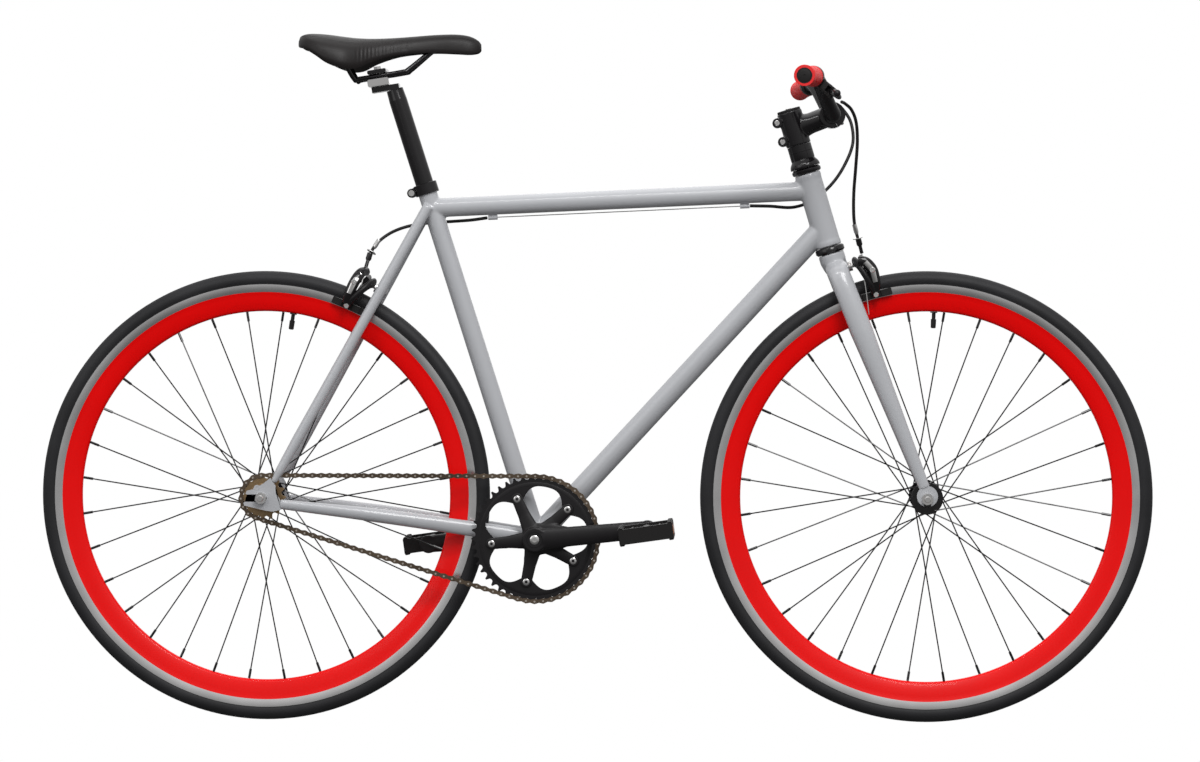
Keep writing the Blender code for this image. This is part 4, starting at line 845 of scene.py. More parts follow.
def handlebar():
    half = [
        BAR_CENTRE, BAR_CENTRE + Vector((0, 0.036, 0)), BAR_CENTRE + Vector((-0.003, 0.050, 0.006)),
        BAR_CENTRE + Vector((-0.0190, 0.096, 0.0410)), BAR_CENTRE + Vector((-0.0250, 0.118, 0.0500)),
        BAR_CENTRE + Vector((-0.0285, 0.150, 0.0515)),
        BAR_CENTRE + Vector((-0.0445, BAR_HALF_WIDTH, 0.0475)),
    ]
    route = curve_points([Vector((p.x, -p.y, p.z)) for p in reversed(half)] + half[1:], 8)
    sizes = [
        BAR_RADIUS + (BAR_CLAMP_RADIUS - BAR_RADIUS) * min(
            1.0, max(0.0, (0.062 - abs(p.y)) / 0.020)
        ) for p in route
    ]
    bm = bmesh.new()
    add_tube(bm, route, sizes, side=(1, 0, 0), sides=48)
    finish_piece("handlebar_tube", bm, "black_metal", "steering", ["handlebar"], look="black_satin")
    for word, sign in (("right", -1), ("left", 1)):
        inner = bar_point(sign * (BAR_HALF_WIDTH - GRIP_LENGTH))
        outer = bar_point(sign * (BAR_HALF_WIDTH - 0.0005))
        axis = (outer - inner).normalized()
        long = (outer - inner).length
        section = [(0.0113, 0.0), (0.0150, 0.0), (0.0153, 0.0006), (0.0153, 0.0036), (0.0148, 0.0044)]
        ribs = 30
        for k in range(ribs):
            along = 0.0060 + (long - 0.0120) * k / ribs
            section += [
                (0.0145, along), (0.0145, along + 0.0019), (0.0141, along + 0.0024),
                (0.0141, along + 0.0029)
            ]
        section += [
            (0.0146, long - 0.0050), (0.0152, long - 0.0042), (0.0152, long - 0.0006), (0.0148, long),
            (0.0096, long)
        ]
        bm = bmesh.new()
        add_turned(bm, inner, section, 48, axis=axis)
        finish_piece(f"rubber_grip_{word}", bm, "red_grip", "steering", [f"grip_{word}"])
        bm = bmesh.new()
        plug = [
            (
                0.0094, -0.004
            ), (0.0094, 0.0004), (0.0088, 0.0010), (0.0060, 0.0014), (0.0016, 0.0015), (0.0010, 0.0008)
        ]
        add_turned(bm, outer, plug, 40, closed=False, axis=axis)
        finish_piece(f"bar_plug_{word}", bm, "black_plastic", "steering")


LEVER_DROP = Vector((0.76, 0.0, -0.65)).normalized()
LEVER_NORMAL = Vector((0.65, 0.0, 0.76)).normalized()
PERCH_Y = 0.162
LEVER_PIVOT = bar_point(PERCH_Y) + LEVER_DROP * 0.034 - Y_AXIS * 0.012


def levers():
    for word, sign in (("right", -1), ("left", 1)):
        place = bar_point(sign * PERCH_Y)
        pivot = Vector((LEVER_PIVOT.x, sign * LEVER_PIVOT.y, LEVER_PIVOT.z))
        axis = (bar_point(sign * (PERCH_Y + 0.02)) - place).normalized()
        nose_start = pivot - Y_AXIS * (sign * 0.004) - LEVER_DROP * 0.008
        nose_end = pivot - Y_AXIS * (sign * 0.026) - LEVER_DROP * 0.008
        bm = bmesh.new()
        add_tube(bm, [place - axis * 0.007, place + axis * 0.007], 0.0155, side=(1, 0, 0), sides=48)
        add_box(
            bm, place + LEVER_DROP * 0.020 - Y_AXIS * (sign * 0.010), LEVER_DROP, Y_AXIS,
            (0.010, 0.006, 0.0075)
        )
        add_box(
            bm, pivot - LEVER_DROP * 0.001 - Y_AXIS * (sign * 0.0005), LEVER_DROP, Y_AXIS,
            (0.0075, 0.0080, 0.0078)
        )
        add_tube(bm, [nose_start, nose_end], 0.0062, side=(1, 0, 0), sides=32)
        slot = bmesh.new()
        add_box(
            slot, pivot + LEVER_DROP * 0.004 + Y_AXIS * (sign * 0.004), LEVER_DROP, Y_AXIS,
            (0.0135, 0.0140, 0.0047)
        )
        skin = welded(bm, 0.0009, 3, [rod_cutter(place - axis * 0.02, place + axis * 0.02, 0.0113), slot])
        finish_piece(
            f"lever_housing_{word}", skin, "black_plastic", "steering", [f"lever_bracket_{word}"], 50
        )
        bm = bmesh.new()
        barrel = nose_end + Y_AXIS * (sign * 0.001)
        for k in range(4):
            out = -Y_AXIS * (sign * (0.0030 * k))
            add_tube(
                bm, [barrel + out, barrel + out - Y_AXIS * (sign * 0.0022)], 0.0050 - 0.0003 * k,
                side=(1, 0, 0), sides=20
            )
        finish_piece(f"lever_adjuster_{word}", bm, "black_plastic", "steering")
        out = Y_AXIS * sign
        route = [
            pivot - out * 0.001, pivot + out * 0.018 + LEVER_DROP * 0.006,
            pivot + out * 0.045 + LEVER_DROP * 0.012,
            pivot + out * 0.080 + LEVER_DROP * 0.006, pivot + out * 0.1005 + LEVER_DROP * 0.0085,
        ]
        sizes = [(0.0058, 0.0038), (0.0062, 0.0040), (0.0054, 0.0040), (0.0048, 0.0040), (0.0052, 0.0044)]
        between = [
            tuple(
                a + (b - a) * (k / 8) for a, b in zip(one, two)
            ) for one, two in zip(sizes, sizes[1:]) for k in range(8)
        ] + [sizes[-1]]
        bm = bmesh.new()
        add_tube(bm, curve_points(route, 8), between, side=LEVER_DROP, sides=32)
        bmesh.ops.create_uvsphere(
            bm, u_segments=24, v_segments=16, radius=0.0052, matrix=Matrix.Translation(route[-1])
        )
        add_tube(bm, [pivot - LEVER_NORMAL * 0.0044, pivot + LEVER_NORMAL * 0.0044], 0.0060, sides=32)
        finish_piece(
            f"lever_blade_{word}", bm, "black_metal", f"{word}_lever", [f"brake_lever_{word}"],
            look="black_satin"
        )


CHAINRING_PITCH_RADIUS = CHAIN_PITCH / (2 * math.sin(math.pi / CHAINRING_TEETH))
SPROCKET_PITCH_RADIUS = CHAIN_PITCH / (2 * math.sin(math.pi / SPROCKET_TEETH))
CRANK_LENGTH = 0.168
CRANK_ANGLE = math.radians(5.5)
CRANK_Y = 0.058
PEDAL_LENGTH = 0.095
PEDAL_TILT = math.radians(8.0)
LINK_END = 0.0039
LINK_WAIST = 0.0023


def tooth_outline(centre, teeth, root, tip):
    """Pointed teeth with rounded valleys."""
    outline = []
    for k in range(teeth):
        for share, radius in (
            (-0.36, root + 0.0003), (-0.24, root + 0.0016), (-0.09, tip), (0.09, tip),
            (0.24, root + 0.0016), (0.36, root + 0.0003), (0.5, root)
        ):
            turn = 2 * math.pi * (k + share) / teeth
            outline.append((centre.x + radius * math.cos(turn), centre.z + radius * math.sin(turn)))
    return outline


def add_ring_plate(bm, outside, inside, y_low, y_high):
    """A flat ring between two outlines that hold the same number of points."""
    loops = [
        [bm.verts.new((x, y, z)) for x, z in outline] for outline,
        y in ((outside, y_low), (outside, y_high), (inside, y_high), (inside, y_low))
    ]
    for low, high in zip(loops, loops[1:] + loops[:1]):
        bridge(bm, low, high)


def chainring():
    """Forty-six teeth, a stepped rim and five scalloped bolt tabs between rounded windows."""
    outside = tooth_outline(
        BB, CHAINRING_TEETH, CHAINRING_PITCH_RADIUS - 0.0042, CHAINRING_PITCH_RADIUS + 0.0020
    )
    count = len(outside)
    inside = []
    for k in range(count):
        turn = 2 * math.pi * (k - 2.5) / count
        wave = 0.5 + 0.5 * math.cos(5 * (turn - SPIDER_FIRST_ANGLE))
        radius = 0.0785 - 0.0215 * wave ** 2.2
        inside.append((BB.x + radius * math.cos(turn), BB.z + radius * math.sin(turn)))
    bm = bmesh.new()
    add_ring_plate(bm, outside, inside, -CHAINLINE - 0.0011, -CHAINLINE + 0.0011)
    finish_piece("chainring_teeth", bm, "black_metal", "crankset", ["chainring"], 30)
    bm = bmesh.new()
    add_turned(
        bm, BB,
        [
            (0.0792, -CHAINLINE - 0.0013), (0.0840, -CHAINLINE - 0.0013), (0.0846, -CHAINLINE - 0.0010),
            (0.0846, -CHAINLINE + 0.0013), (0.0792, -CHAINLINE + 0.0013)
        ],
        180
    )
    finish_piece("chainring_step", bm, "black_metal", "crankset", look="black_satin")
    bm = bmesh.new()
    for k in range(5):
        turn = SPIDER_FIRST_ANGLE + 2 * math.pi * k / 5
        place = BB + Vector(
            (
                BOLT_CIRCLE_RADIUS * math.cos(turn), -CHAINLINE - 0.0062,
                BOLT_CIRCLE_RADIUS * math.sin(turn)
            )
        )
        bolt_head(bm, place, -Y_AXIS, 0.0050, 0.0018)
        add_tube(bm, [place, place + Y_AXIS * 0.0088], 0.0042, side=(1, 0, 0), sides=24)
    finish_piece("chainring_bolts", bm, "chrome", "crankset", smooth=30)


def freewheel():
    outside = tooth_outline(
        REAR_AXLE, SPROCKET_TEETH, SPROCKET_PITCH_RADIUS - 0.0042, SPROCKET_PITCH_RADIUS + 0.0020
    )
    count = len(outside)
    inside = [
        (
            REAR_AXLE.x + 0.0145 * math.cos(2 * math.pi * (k - 2.5) / count),
            REAR_AXLE.z + 0.0145 * math.sin(2 * math.pi * (k - 2.5) / count)
        )
        for k in range(count)
    ]
    bm = bmesh.new()
    add_ring_plate(bm, outside, inside, -CHAINLINE - 0.0012, -CHAINLINE + 0.0012)
    section = [
        (0.0143, -0.0362), (0.0200, -0.0362), (0.0205, -0.0366), (0.0205, -0.0484), (0.0198, -0.0489),
        (0.0180, -0.0489), (0.0178, -0.0482), (0.0143, -0.0482),
    ]
    add_turned(bm, REAR_AXLE, section, 64)
    finish_piece("freewheel_ring_and_body", bm, "bronze", "freewheel_ring", ["freewheel"], 30)


def chain_length_points():
    """The belt line round both wheels as evenly pitched pin places."""
    line = math.atan2(REAR_AXLE.z - BB.z, REAR_AXLE.x - BB.x)
    gap = math.hypot(REAR_AXLE.x - BB.x, REAR_AXLE.z - BB.z)
    opening = math.acos((CHAINRING_PITCH_RADIUS - SPROCKET_PITCH_RADIUS) / gap)
    upper, lower = line - opening, line + opening
    route = []
    for k in range(721):
        turn = upper - (2 * math.pi - 2 * opening) * k / 720
        route.append(BB + Vector((math.cos(turn), 0.0, math.sin(turn))) * CHAINRING_PITCH_RADIUS)
    for k in range(241):
        turn = lower - 2 * opening * k / 240
        route.append(REAR_AXLE + Vector((math.cos(turn), 0.0, math.sin(turn))) * SPROCKET_PITCH_RADIUS)
    route.append(route[0])
    lengths = [0.0]
    for a, b in zip(route, route[1:]):
        lengths.append(lengths[-1] + (b - a).length)
    count = 2 * round(lengths[-1] / CHAIN_PITCH / 2)
    found, index = [], 0
    for k in range(count):
        want = lengths[-1] * k / count
        while lengths[index + 1] < want:
            index += 1
        share = (want - lengths[index]) / (lengths[index + 1] - lengths[index])
        found.append(route[index].lerp(route[index + 1], share) - Y_AXIS * CHAINLINE)
    return found


def link_outline(start, end):
    """A waisted side plate between two pins, in the chain's plane."""
    along = (end - start).normalized()
    up = Vector((-along.z, 0.0, along.x))
    places = []
    for pin, way in ((end, 1), (start, -1)):
        for k in range(9):
            turn = math.radians(-112 + 28 * k)
            places.append(
                pin + along * (LINK_END * way * math.cos(turn)) + up * (LINK_END * way * math.sin(turn))
            )
        places.append(start.lerp(end, 0.5) + up * (LINK_WAIST * way))
    return [(place.x, place.z) for place in places]


def chain():
    pins = chain_length_points()
    plates, rivets = bmesh.new(), bmesh.new()
    for k, pin in enumerate(pins):
        after = pins[(k + 1) % len(pins)]
        inner, outer = (0.0023, 0.0031) if k % 2 else (0.0014, 0.0022)
        for sign in (-1, 1):
            near, far = -CHAINLINE + sign * inner, -CHAINLINE + sign * outer
            add_plate(plates, link_outline(pin, after), min(near, far), max(near, far))
        add_tube(plates, [pin - Y_AXIS * 0.0013, pin + Y_AXIS * 0.0013], 0.0036, side=(1, 0, 0), sides=12)
        add_tube(rivets, [pin - Y_AXIS * 0.0035, pin + Y_AXIS * 0.0035], 0.0015, side=(1, 0, 0), sides=10)
    finish_piece("chain_links", plates, "bronze", "frame", ["chain"], 30, look="chain_steel")
    finish_piece("chain_rivets", rivets, "bronze", "frame", smooth=30, look="rivet")


def crank_end(sign):
    turn = CRANK_ANGLE if sign < 0 else CRANK_ANGLE + math.pi
    return BB + Vector((CRANK_LENGTH * math.cos(turn), 0.0, CRANK_LENGTH * math.sin(turn)))


def crank(word, sign):
    """Forged arm that narrows to the pedal eye, with the five-arm spider on the right one."""
    tip = crank_end(sign)
    side = Y_AXIS * sign
    middle, shift = side * (CRANK_Y + 0.001), side * 0.007
    bm = bmesh.new()
    add_tube(
        bm, [BB + side * (CRANK_Y - 0.007), BB + side * (CRANK_Y + 0.0075)], 0.0182, side=(1, 0, 0),
        sides=64
    )
    route = [
        BB + middle, BB.lerp(tip, 0.12) + middle + shift * 0.15,
        BB.lerp(tip, 0.3) + middle + shift * 0.36, BB.lerp(tip, 0.7) + middle + shift * 0.76,
        tip + middle + shift
    ]
    add_tube(
        bm, route,
        [(0.0070, 0.0172), (0.0068, 0.0160), (0.0062, 0.0148), (0.0058, 0.0138), (0.0058, 0.0130)],
        sides=40
    )
    add_tube(
        bm, [tip + middle + shift * 0.2, tip + middle + shift * 1.75], 0.0137, side=(1, 0, 0), sides=64
    )
    if sign < 0:
        back = Y_AXIS * -(CHAINLINE + 0.0080)
        add_tube(
            bm, [BB + back, BB.lerp(tip, 0.16) + back * 1.02, BB.lerp(tip, 0.32) + back * 1.06],
            [(0.0046, 0.0250), (0.0044, 0.0215), (0.0036, 0.0135)], sides=40
        )
        for k in range(5):
            turn = SPIDER_FIRST_ANGLE + 2 * math.pi * k / 5
            out = Vector((math.cos(turn), 0.0, math.sin(turn)))
            start = BB - Y_AXIS * (CHAINLINE + 0.0085) + out * 0.010
            bend = BB - Y_AXIS * (CHAINLINE + 0.0060) + out * 0.040
            end = BB - Y_AXIS * (CHAINLINE + 0.0045) + out * (BOLT_CIRCLE_RADIUS + 0.002)
            add_tube(
                bm, [start, bend, end], [(0.0048, 0.0135), (0.0032, 0.0095), (0.0026, 0.0085)], sides=32
            )
            add_tube(
                bm, [end - out * 0.002 - Y_AXIS * 0.0018, end - out * 0.002 + Y_AXIS * 0.0028], 0.0090,
                side=(1, 0, 0), sides=32
            )
    cutters = []
    if sign < 0:
        cutters.append(rod_cutter(BB - Y_AXIS * (CHAINLINE + 0.0016), BB - Y_AXIS * 0.01, 0.090, 128))
    cutters.append(rod_cutter(BB + side * (CRANK_Y - 0.030), BB + side * (CRANK_Y - 0.0035), 0.0087))
    cutters.append(rod_cutter(BB + side * (CRANK_Y + 0.0052), BB + side * (CRANK_Y + 0.02), 0.0118))
    skin = welded(bm, 0.0009, 12, cutters)
    finish_piece(
        f"crank_arm_{word}", skin, "black_metal", "crankset", [f"crank_{word}"], 50, look="black_satin"
    )
    bm = bmesh.new()
    face = side * (CRANK_Y + 0.0050)
    add_turned(
        bm, BB + face, [(0.0072, 0.0), (0.0114, 0.0), (0.0114, 0.0016), (0.0072, 0.0016)], 48, axis=side
    )
    finish_piece(f"crank_dust_ring_{word}", bm, "black_metal", "crankset", smooth=30)
    bm = bmesh.new()
    bolt_head(bm, BB + face, side, 0.0068, 0.0024)
    finish_piece(f"crank_bolt_{word}", bm, "chrome", "crankset", smooth=30)


def spindle():
    bm = bmesh.new()
    end = CRANK_Y - 0.0042
    add_turned(
        bm, BB, [(0.0074, -end), (0.0079, -end + 0.0006), (0.0079, end - 0.0006), (0.0074, end)], 40,
        closed=False
    )
    finish_piece("bracket_spindle", bm, "chrome", "crankset", ["crank_spindle"])


def pedal(word, sign):
    """Plastic platform: barrel, ribbed inner web, toothed cage and amber reflectors."""
    axis = crank_end(sign)
    start = CRANK_Y + 0.001 + 0.007 * 1.8 + 0.0006
    fore = Vector((math.cos(PEDAL_TILT), 0.0, math.sin(PEDAL_TILT)))
    up = Vector((-fore.z, 0.0, fore.x))

    def place(along, reach=0.0, rise=0.0):
        return axis + Y_AXIS * (sign * (start + along)) + fore * reach + up * rise

    bm = bmesh.new()
    add_tube(bm, [place(0.006), place(PEDAL_LENGTH - 0.0005)], 0.0093, side=(1, 0, 0), sides=32)
    add_tube(bm, [place(0.0), place(0.008)], 0.0070, side=(1, 0, 0), sides=24)
    for along in (0.014, PEDAL_LENGTH - 0.004):
        add_box(bm, place(along), fore, Y_AXIS, (0.0355, 0.0034, 0.0112))
    for reach in (-1, 1):
        add_box(
            bm, place(PEDAL_LENGTH / 2 + 0.005, reach * 0.036), fore, Y_AXIS,
            (0.0038, PEDAL_LENGTH / 2 - 0.0055, 0.0118)
        )
        add_box(
            bm, place(PEDAL_LENGTH / 2 + 0.005, reach * 0.020), fore, Y_AXIS,
            (0.0016, PEDAL_LENGTH / 2 - 0.0065, 0.0085)
        )
        for k in range(9):
            for rise in (-1, 1):
                add_box(
                    bm, place(0.0165 + 0.0092 * k, reach * 0.036, rise * 0.0124), fore, Y_AXIS,
                    (0.0034, 0.0022, 0.0010)
                )
    for along in (0.034, 0.054, 0.074):
        add_box(bm, place(along), fore, Y_AXIS, (0.0345, 0.0018, 0.0080))
    bevel = bmesh.ops.bevel(
        bm, geom=[
            e for e in bm.edges if len(
                e.link_faces
            ) == 2 and e.calc_face_angle(0.0) > 1.2 and e.calc_length() > 0.004
        ],
        offset=0.0007, segments=2, affect="EDGES",
    )
    finish_piece(f"pedal_platform_{word}", bm, "black_plastic", f"{word}_pedal", [f"pedal_{word}"], 40)
    bm = bmesh.new()
    for reach in (-1, 1):
        add_box(
            bm, place(PEDAL_LENGTH / 2 + 0.005, reach * 0.0398), fore, Y_AXIS, (0.0006, 0.0240, 0.0062)
        )
    finish_piece(f"pedal_reflectors_{word}", bm, "black_plastic", f"{word}_pedal", look="amber")
    bm = bmesh.new()
    add_turned(
        bm, place(0.0),
        [(0.0066, sign * -0.0003), (0.0080, 0.0), (0.0080, sign * 0.0040), (0.0060, sign * 0.0046)], 24,
        closed=False
    )
    finish_piece(f"pedal_axle_{word}", bm, "chrome", f"{word}_pedal")
    return bevel


def drive():
    chainring()
    freewheel()
    chain()
    spindle()
    for word, sign in (("right", -1), ("left", 1)):
        crank(word, sign)
        pedal(word, sign)


FRONT_PAD_TURN = math.radians(104.1)
REAR_PAD_TURN = math.radians(66.4)
PAD_TRACK_RADIUS = RIM_RADIUS - 0.0062
STAY_LINE = (stay_at(1, 0.0) - stay_at(1, 1.0)).normalized()
REAR_BRAKE_UP = Vector((STAY_LINE.x, 0.0, STAY_LINE.z)).normalized()
REAR_BRAKE_OUT = Vector((-REAR_BRAKE_UP.z, 0.0, REAR_BRAKE_UP.x))
BRAKES = {
    "front": ("steering", FORK_BRAKE, STEER_AXIS, REACH_AXIS, 0.0195, FRONT_AXLE, FRONT_PAD_TURN),
    "rear": ("frame", BRIDGE, REAR_BRAKE_UP, REAR_BRAKE_OUT, 0.0065, REAR_AXLE, REAR_PAD_TURN),
}


def caliper(word):
    """Side-pull caliper: two forged arms on one bolt, shoes beside the track and their bolts."""
    carrier, base, up, out, seat, centre, turn = BRAKES[word]
    pad = centre + Vector((PAD_TRACK_RADIUS * math.cos(turn), 0.0, PAD_TRACK_RADIUS * math.sin(turn)))
    track = Vector((-math.sin(turn), 0.0, math.cos(turn)))
    pad_out, pad_up = (pad - base).dot(out), (pad - base).dot(up)
    for side_word, sign, plane in (("right", -1, seat + 0.0113), ("left", 1, seat + 0.0218)):
        def at(reach, rise, y):
            return base + out * reach + up * rise + Y_AXIS * (sign * y)

        route = curve_points(
            [at(plane, 0.002, -0.010), at(plane, 0.004, 0.012), at(plane + (pad_out - plane) * 0.3, -0.006, 0.029),
             at(plane + (pad_out - plane) * 0.7, pad_up * 0.55, 0.0330), at(pad_out, pad_up + 0.002, 0.0245)], 8,
        )
        sizes = [(0.0044, 0.0066), (0.0050, 0.0080), (0.0050, 0.0070), (0.0050, 0.0060), (0.0056, 0.0058)]
        between = [
            tuple(
                a + (b - a) * (k / 8) for a, b in zip(one, two)
            ) for one, two in zip(sizes, sizes[1:]) for k in range(8)
        ] + [sizes[-1]]
        bm = bmesh.new()
        add_tube(bm, route, between, side=out, sides=32)
        body = f"{word}_arm_{side_word}"
        finish_piece(
            f"{word}_caliper_arm_{side_word}", bm, "black_metal", body, [f"{word}_brake_arm_{side_word}"],
            60, look="black_satin"
        )
        shoe_y = RIM_WIDTH / 2 + 0.0020
        bm = bmesh.new()
        add_box(bm, pad + Y_AXIS * (sign * (shoe_y + 0.0022)), track, Y_AXIS, (0.0245, 0.0021, 0.0050))
        for along in (-0.014, 0.0, 0.014):
            add_box(
                bm, pad + track * along + Y_AXIS * (sign * (shoe_y + 0.0052)), track, Y_AXIS,
                (0.0058, 0.0014, 0.0046)
            )
        bmesh.ops.bevel(bm, geom=bm.edges[:], offset=0.0006, segments=2, affect="EDGES")
        finish_piece(f"{word}_brake_shoe_{side_word}", bm, "black_plastic", body)
        bm = bmesh.new()
        bolt_head(bm, pad + Y_AXIS * (sign * 0.0296), Y_AXIS * sign, 0.0040, 0.0034)
        add_tube(
            bm, [pad + Y_AXIS * (sign * (shoe_y + 0.0050)), pad + Y_AXIS * (sign * 0.0300)], 0.0026,
            side=(1, 0, 0), sides=16
        )
        finish_piece(f"{word}_shoe_bolt_{side_word}", bm, "chrome", body, smooth=30)
    bm = bmesh.new()
    add_tube(bm, [base + out * (seat - 0.0045), base + out * (seat + 0.0280)], 0.0030, sides=20)
    bolt_head(bm, base + out * (seat + 0.0275), out, 0.0048, 0.0034)
    add_turned(
        bm, base + out * (seat - 0.0002),
        [(0.0032, 0.0), (0.0072, 0.0), (0.0072, 0.0052), (0.0032, 0.0052)], 32, axis=out
    )
    finish_piece(f"{word}_caliper_bolt", bm, "chrome", carrier, smooth=30)


# Where each brake's casing ends in its ferrule, adjuster and yoke, as places on the real brake
CABLE_ENDS = {
    "front": (
        "front_arm_right", [(0.3862, -0.0420, 0.7345), (0.3895, -0.0402, 0.7218), (0.3925, -0.0385, 0.7115),
                            (0.3958, -0.0360, 0.6985)],
        [(0.3900, -0.0340, 0.6870), (0.4010, -0.0345, 0.6860), (0.4115, -0.0340, 0.6740), (0.4160, -0.0315, 0.6560),
         (0.4165, -0.0270, 0.6440)],
    ),
    "rear": (
        "rear_arm_right", [(-0.3270, 0.0080, 0.7125), (-0.3338, 0.0045, 0.7010), (-0.3385, 0.0000, 0.6900),
                           (-0.3430, -0.0050, 0.6740)],
        [(-0.3400, -0.0080, 0.6720), (-0.3475, -0.0250, 0.6690), (-0.3560, -0.0335, 0.6560), (-0.3640, -0.0330, 0.6390),
         (-0.3686, -0.0280, 0.6250)],
    ),
}


def cable_end(word):
    """Ferrule, flanged adjuster and the yoke arm that carries them down to the shoe."""
    body, places, yoke = CABLE_ENDS[word]
    ferrule, flange, barrel, end = [Vector(place) for place in places]
    along = (flange - ferrule).normalized()
    bm = bmesh.new()
    section = [(0.0027, -0.007), (0.0033, -0.007), (0.0036, 0.004), (0.0026, 0.008), (0.0022, 0.008)]
    add_turned(bm, ferrule, section, 24, axis=along)
    section = [(0.0012, 0.0), (0.0070, 0.0), (0.0074, 0.0004), (0.0074, 0.0014), (0.0012, 0.0016)]
    add_turned(bm, flange, section, 32, axis=along)
    finish_piece(f"{word}_cable_ferrule", bm, "chrome", body, smooth=30)
    bm = bmesh.new()
    down = (end - barrel).normalized()
    add_turned(
        bm, barrel, [(0.0026, -0.009), (0.0042, -0.009), (0.0044, 0.0), (0.0034, 0.002), (0.0026, 0.002)],
        20, axis=down
    )
    add_tube(bm, [barrel, end], 0.0027, sides=20)
    bends = curve_points(yoke, 6)
    bulk = [
        (0.0050, 0.0064 + 0.0016 * math.sin(math.pi * k / (len(bends) - 1))) for k in range(len(bends))
    ]
    add_tube(bm, bends, bulk, sides=32)
    finish_piece(f"{word}_caliper_yoke", bm, "black_metal", body)
    bm = bmesh.new()
    link = [
        Vector(yoke[1]) - Y_AXIS * 0.0058, Vector(yoke[2]) - Y_AXIS * 0.0060,
        Vector(yoke[3]) - Y_AXIS * 0.0058
    ]
    add_tube(bm, link, [(0.0008, 0.0034), (0.0008, 0.0040), (0.0008, 0.0034)], sides=20)
    bolt_head(bm, link[1], -Y_AXIS, 0.0042, 0.0030)
    finish_piece(f"{word}_release_link", bm, "chrome", body, smooth=30)


RAIL_TILT = math.radians(9.0)
RAIL_LINE = Vector((math.cos(RAIL_TILT), 0.0, math.sin(RAIL_TILT)))
RAIL_UP = Vector((-math.sin(RAIL_TILT), 0.0, math.cos(RAIL_TILT)))
RAIL_RADIUS = 0.0035
RAIL_Y = 0.022
SEATPOST_RADIUS = 0.0135
POST_TOP = SEAT_TOP + SEAT_AXIS * 0.150
RAIL_CENTRE = POST_TOP + Vector((-0.0238, 0.0, 0.0193))


def rail_route(sign):
    y = sign * RAIL_Y
    return [
        RAIL_CENTRE + Vector((-0.052, y * 1.6, 0.026)), RAIL_CENTRE + Vector((-0.046, y * 1.5, 0.016)),
        RAIL_CENTRE + RAIL_LINE * -0.034 + Y_AXIS * y * 1.15,
        RAIL_CENTRE + RAIL_LINE * -0.026 + Y_AXIS * y,
        RAIL_CENTRE + RAIL_LINE * 0.036 + Y_AXIS * y,
        RAIL_CENTRE + RAIL_LINE * 0.048 + Y_AXIS * y * 0.9 + RAIL_UP * 0.003,
        RAIL_CENTRE + Vector((0.078, y * 0.5, 0.036)), RAIL_CENTRE + Vector((0.088, y * 0.4, 0.041)),
    ]


def seat_hardware():
    bm = bmesh.new()
    add_tube(bm, [SEAT_TOP - SEAT_AXIS * 0.150, POST_TOP - SEAT_AXIS * 0.016], SEATPOST_RADIUS, sides=64)
    add_tube(
        bm, [POST_TOP - SEAT_AXIS * 0.017, POST_TOP - SEAT_AXIS * 0.010, POST_TOP],
        [SEATPOST_RADIUS, 0.0130, 0.0125], sides=64
    )
    head = RAIL_CENTRE + RAIL_LINE * 0.008 - RAIL_UP * 0.0192
    add_box(bm, head, RAIL_LINE, Y_AXIS, (0.0205, 0.0135, 0.0042))
    finish_piece("seatpost_tube", bm, "black_metal", "seat", ["seatpost"])
    bm = bmesh.new()
    add_box(bm, RAIL_CENTRE - RAIL_UP * 0.0093, RAIL_LINE, Y_AXIS, (0.016, RAIL_Y + 0.006, 0.0054))
    bmesh.ops.bevel(bm, geom=bm.edges[:], offset=0.0012, segments=2, affect="EDGES")
    add_tube(bm, [RAIL_CENTRE - RAIL_UP * 0.008, RAIL_CENTRE + RAIL_UP * 0.014], 0.0036, sides=24)
    add_tube(bm, [RAIL_CENTRE + RAIL_UP * 0.0098, RAIL_CENTRE + RAIL_UP * 0.0150], 0.0062, sides=6)
    finish_piece("saddle_clamp_lower", bm, "chrome", "seat", ["saddle_clamp"], 30)
    bm = bmesh.new()
    add_box(bm, RAIL_CENTRE + RAIL_UP * 0.0069, RAIL_LINE, Y_AXIS, (0.014, RAIL_Y + 0.006, 0.0029))
    bmesh.ops.bevel(bm, geom=bm.edges[:], offset=0.0010, segments=2, affect="EDGES")
    finish_piece("saddle_clamp_top", bm, "black_metal", "seat", smooth=30)
    bm = bmesh.new()
    for sign in (-1, 1):
        add_tube(bm, curve_points(rail_route(sign), 8), RAIL_RADIUS, sides=24)
    add_box(
        bm, RAIL_CENTRE + Vector((0.086, 0.0, 0.0400)), (1, 0, 0), Y_AXIS, (0.005, RAIL_Y * 0.4, 0.003)
    )
    finish_piece("saddle_wire_rails", bm, "black_metal", "seat", ["saddle_rails"])


# Stations from tail to nose: x from the rail centre, top, lower edge, half width
SADDLE_STATIONS = [
    (-0.1170, 0.0550, 0.0440, 0.026), (-0.1130, 0.0600, 0.0410, 0.045), (-0.1030, 0.0628, 0.0380, 0.060),
    (-0.0880, 0.0630, 0.0290, 0.070), (-0.0700, 0.0615, 0.0170, 0.0745),
    (-0.0480, 0.0585, 0.0095, 0.0730),
    (-0.0280, 0.0565, 0.0100, 0.0630), (-0.0050, 0.0560, 0.0200, 0.0480),
    (0.0250, 0.0572, 0.0290, 0.0350),
    (0.0550, 0.0595, 0.0330, 0.0260), (0.0850, 0.0618, 0.0345, 0.0215), (0.1150, 0.0625, 0.0335, 0.0200),
    (0.1350, 0.0600, 0.0325, 0.0180), (0.1480, 0.0540, 0.0340, 0.0130), (0.1530, 0.0480, 0.0380, 0.0070),
]
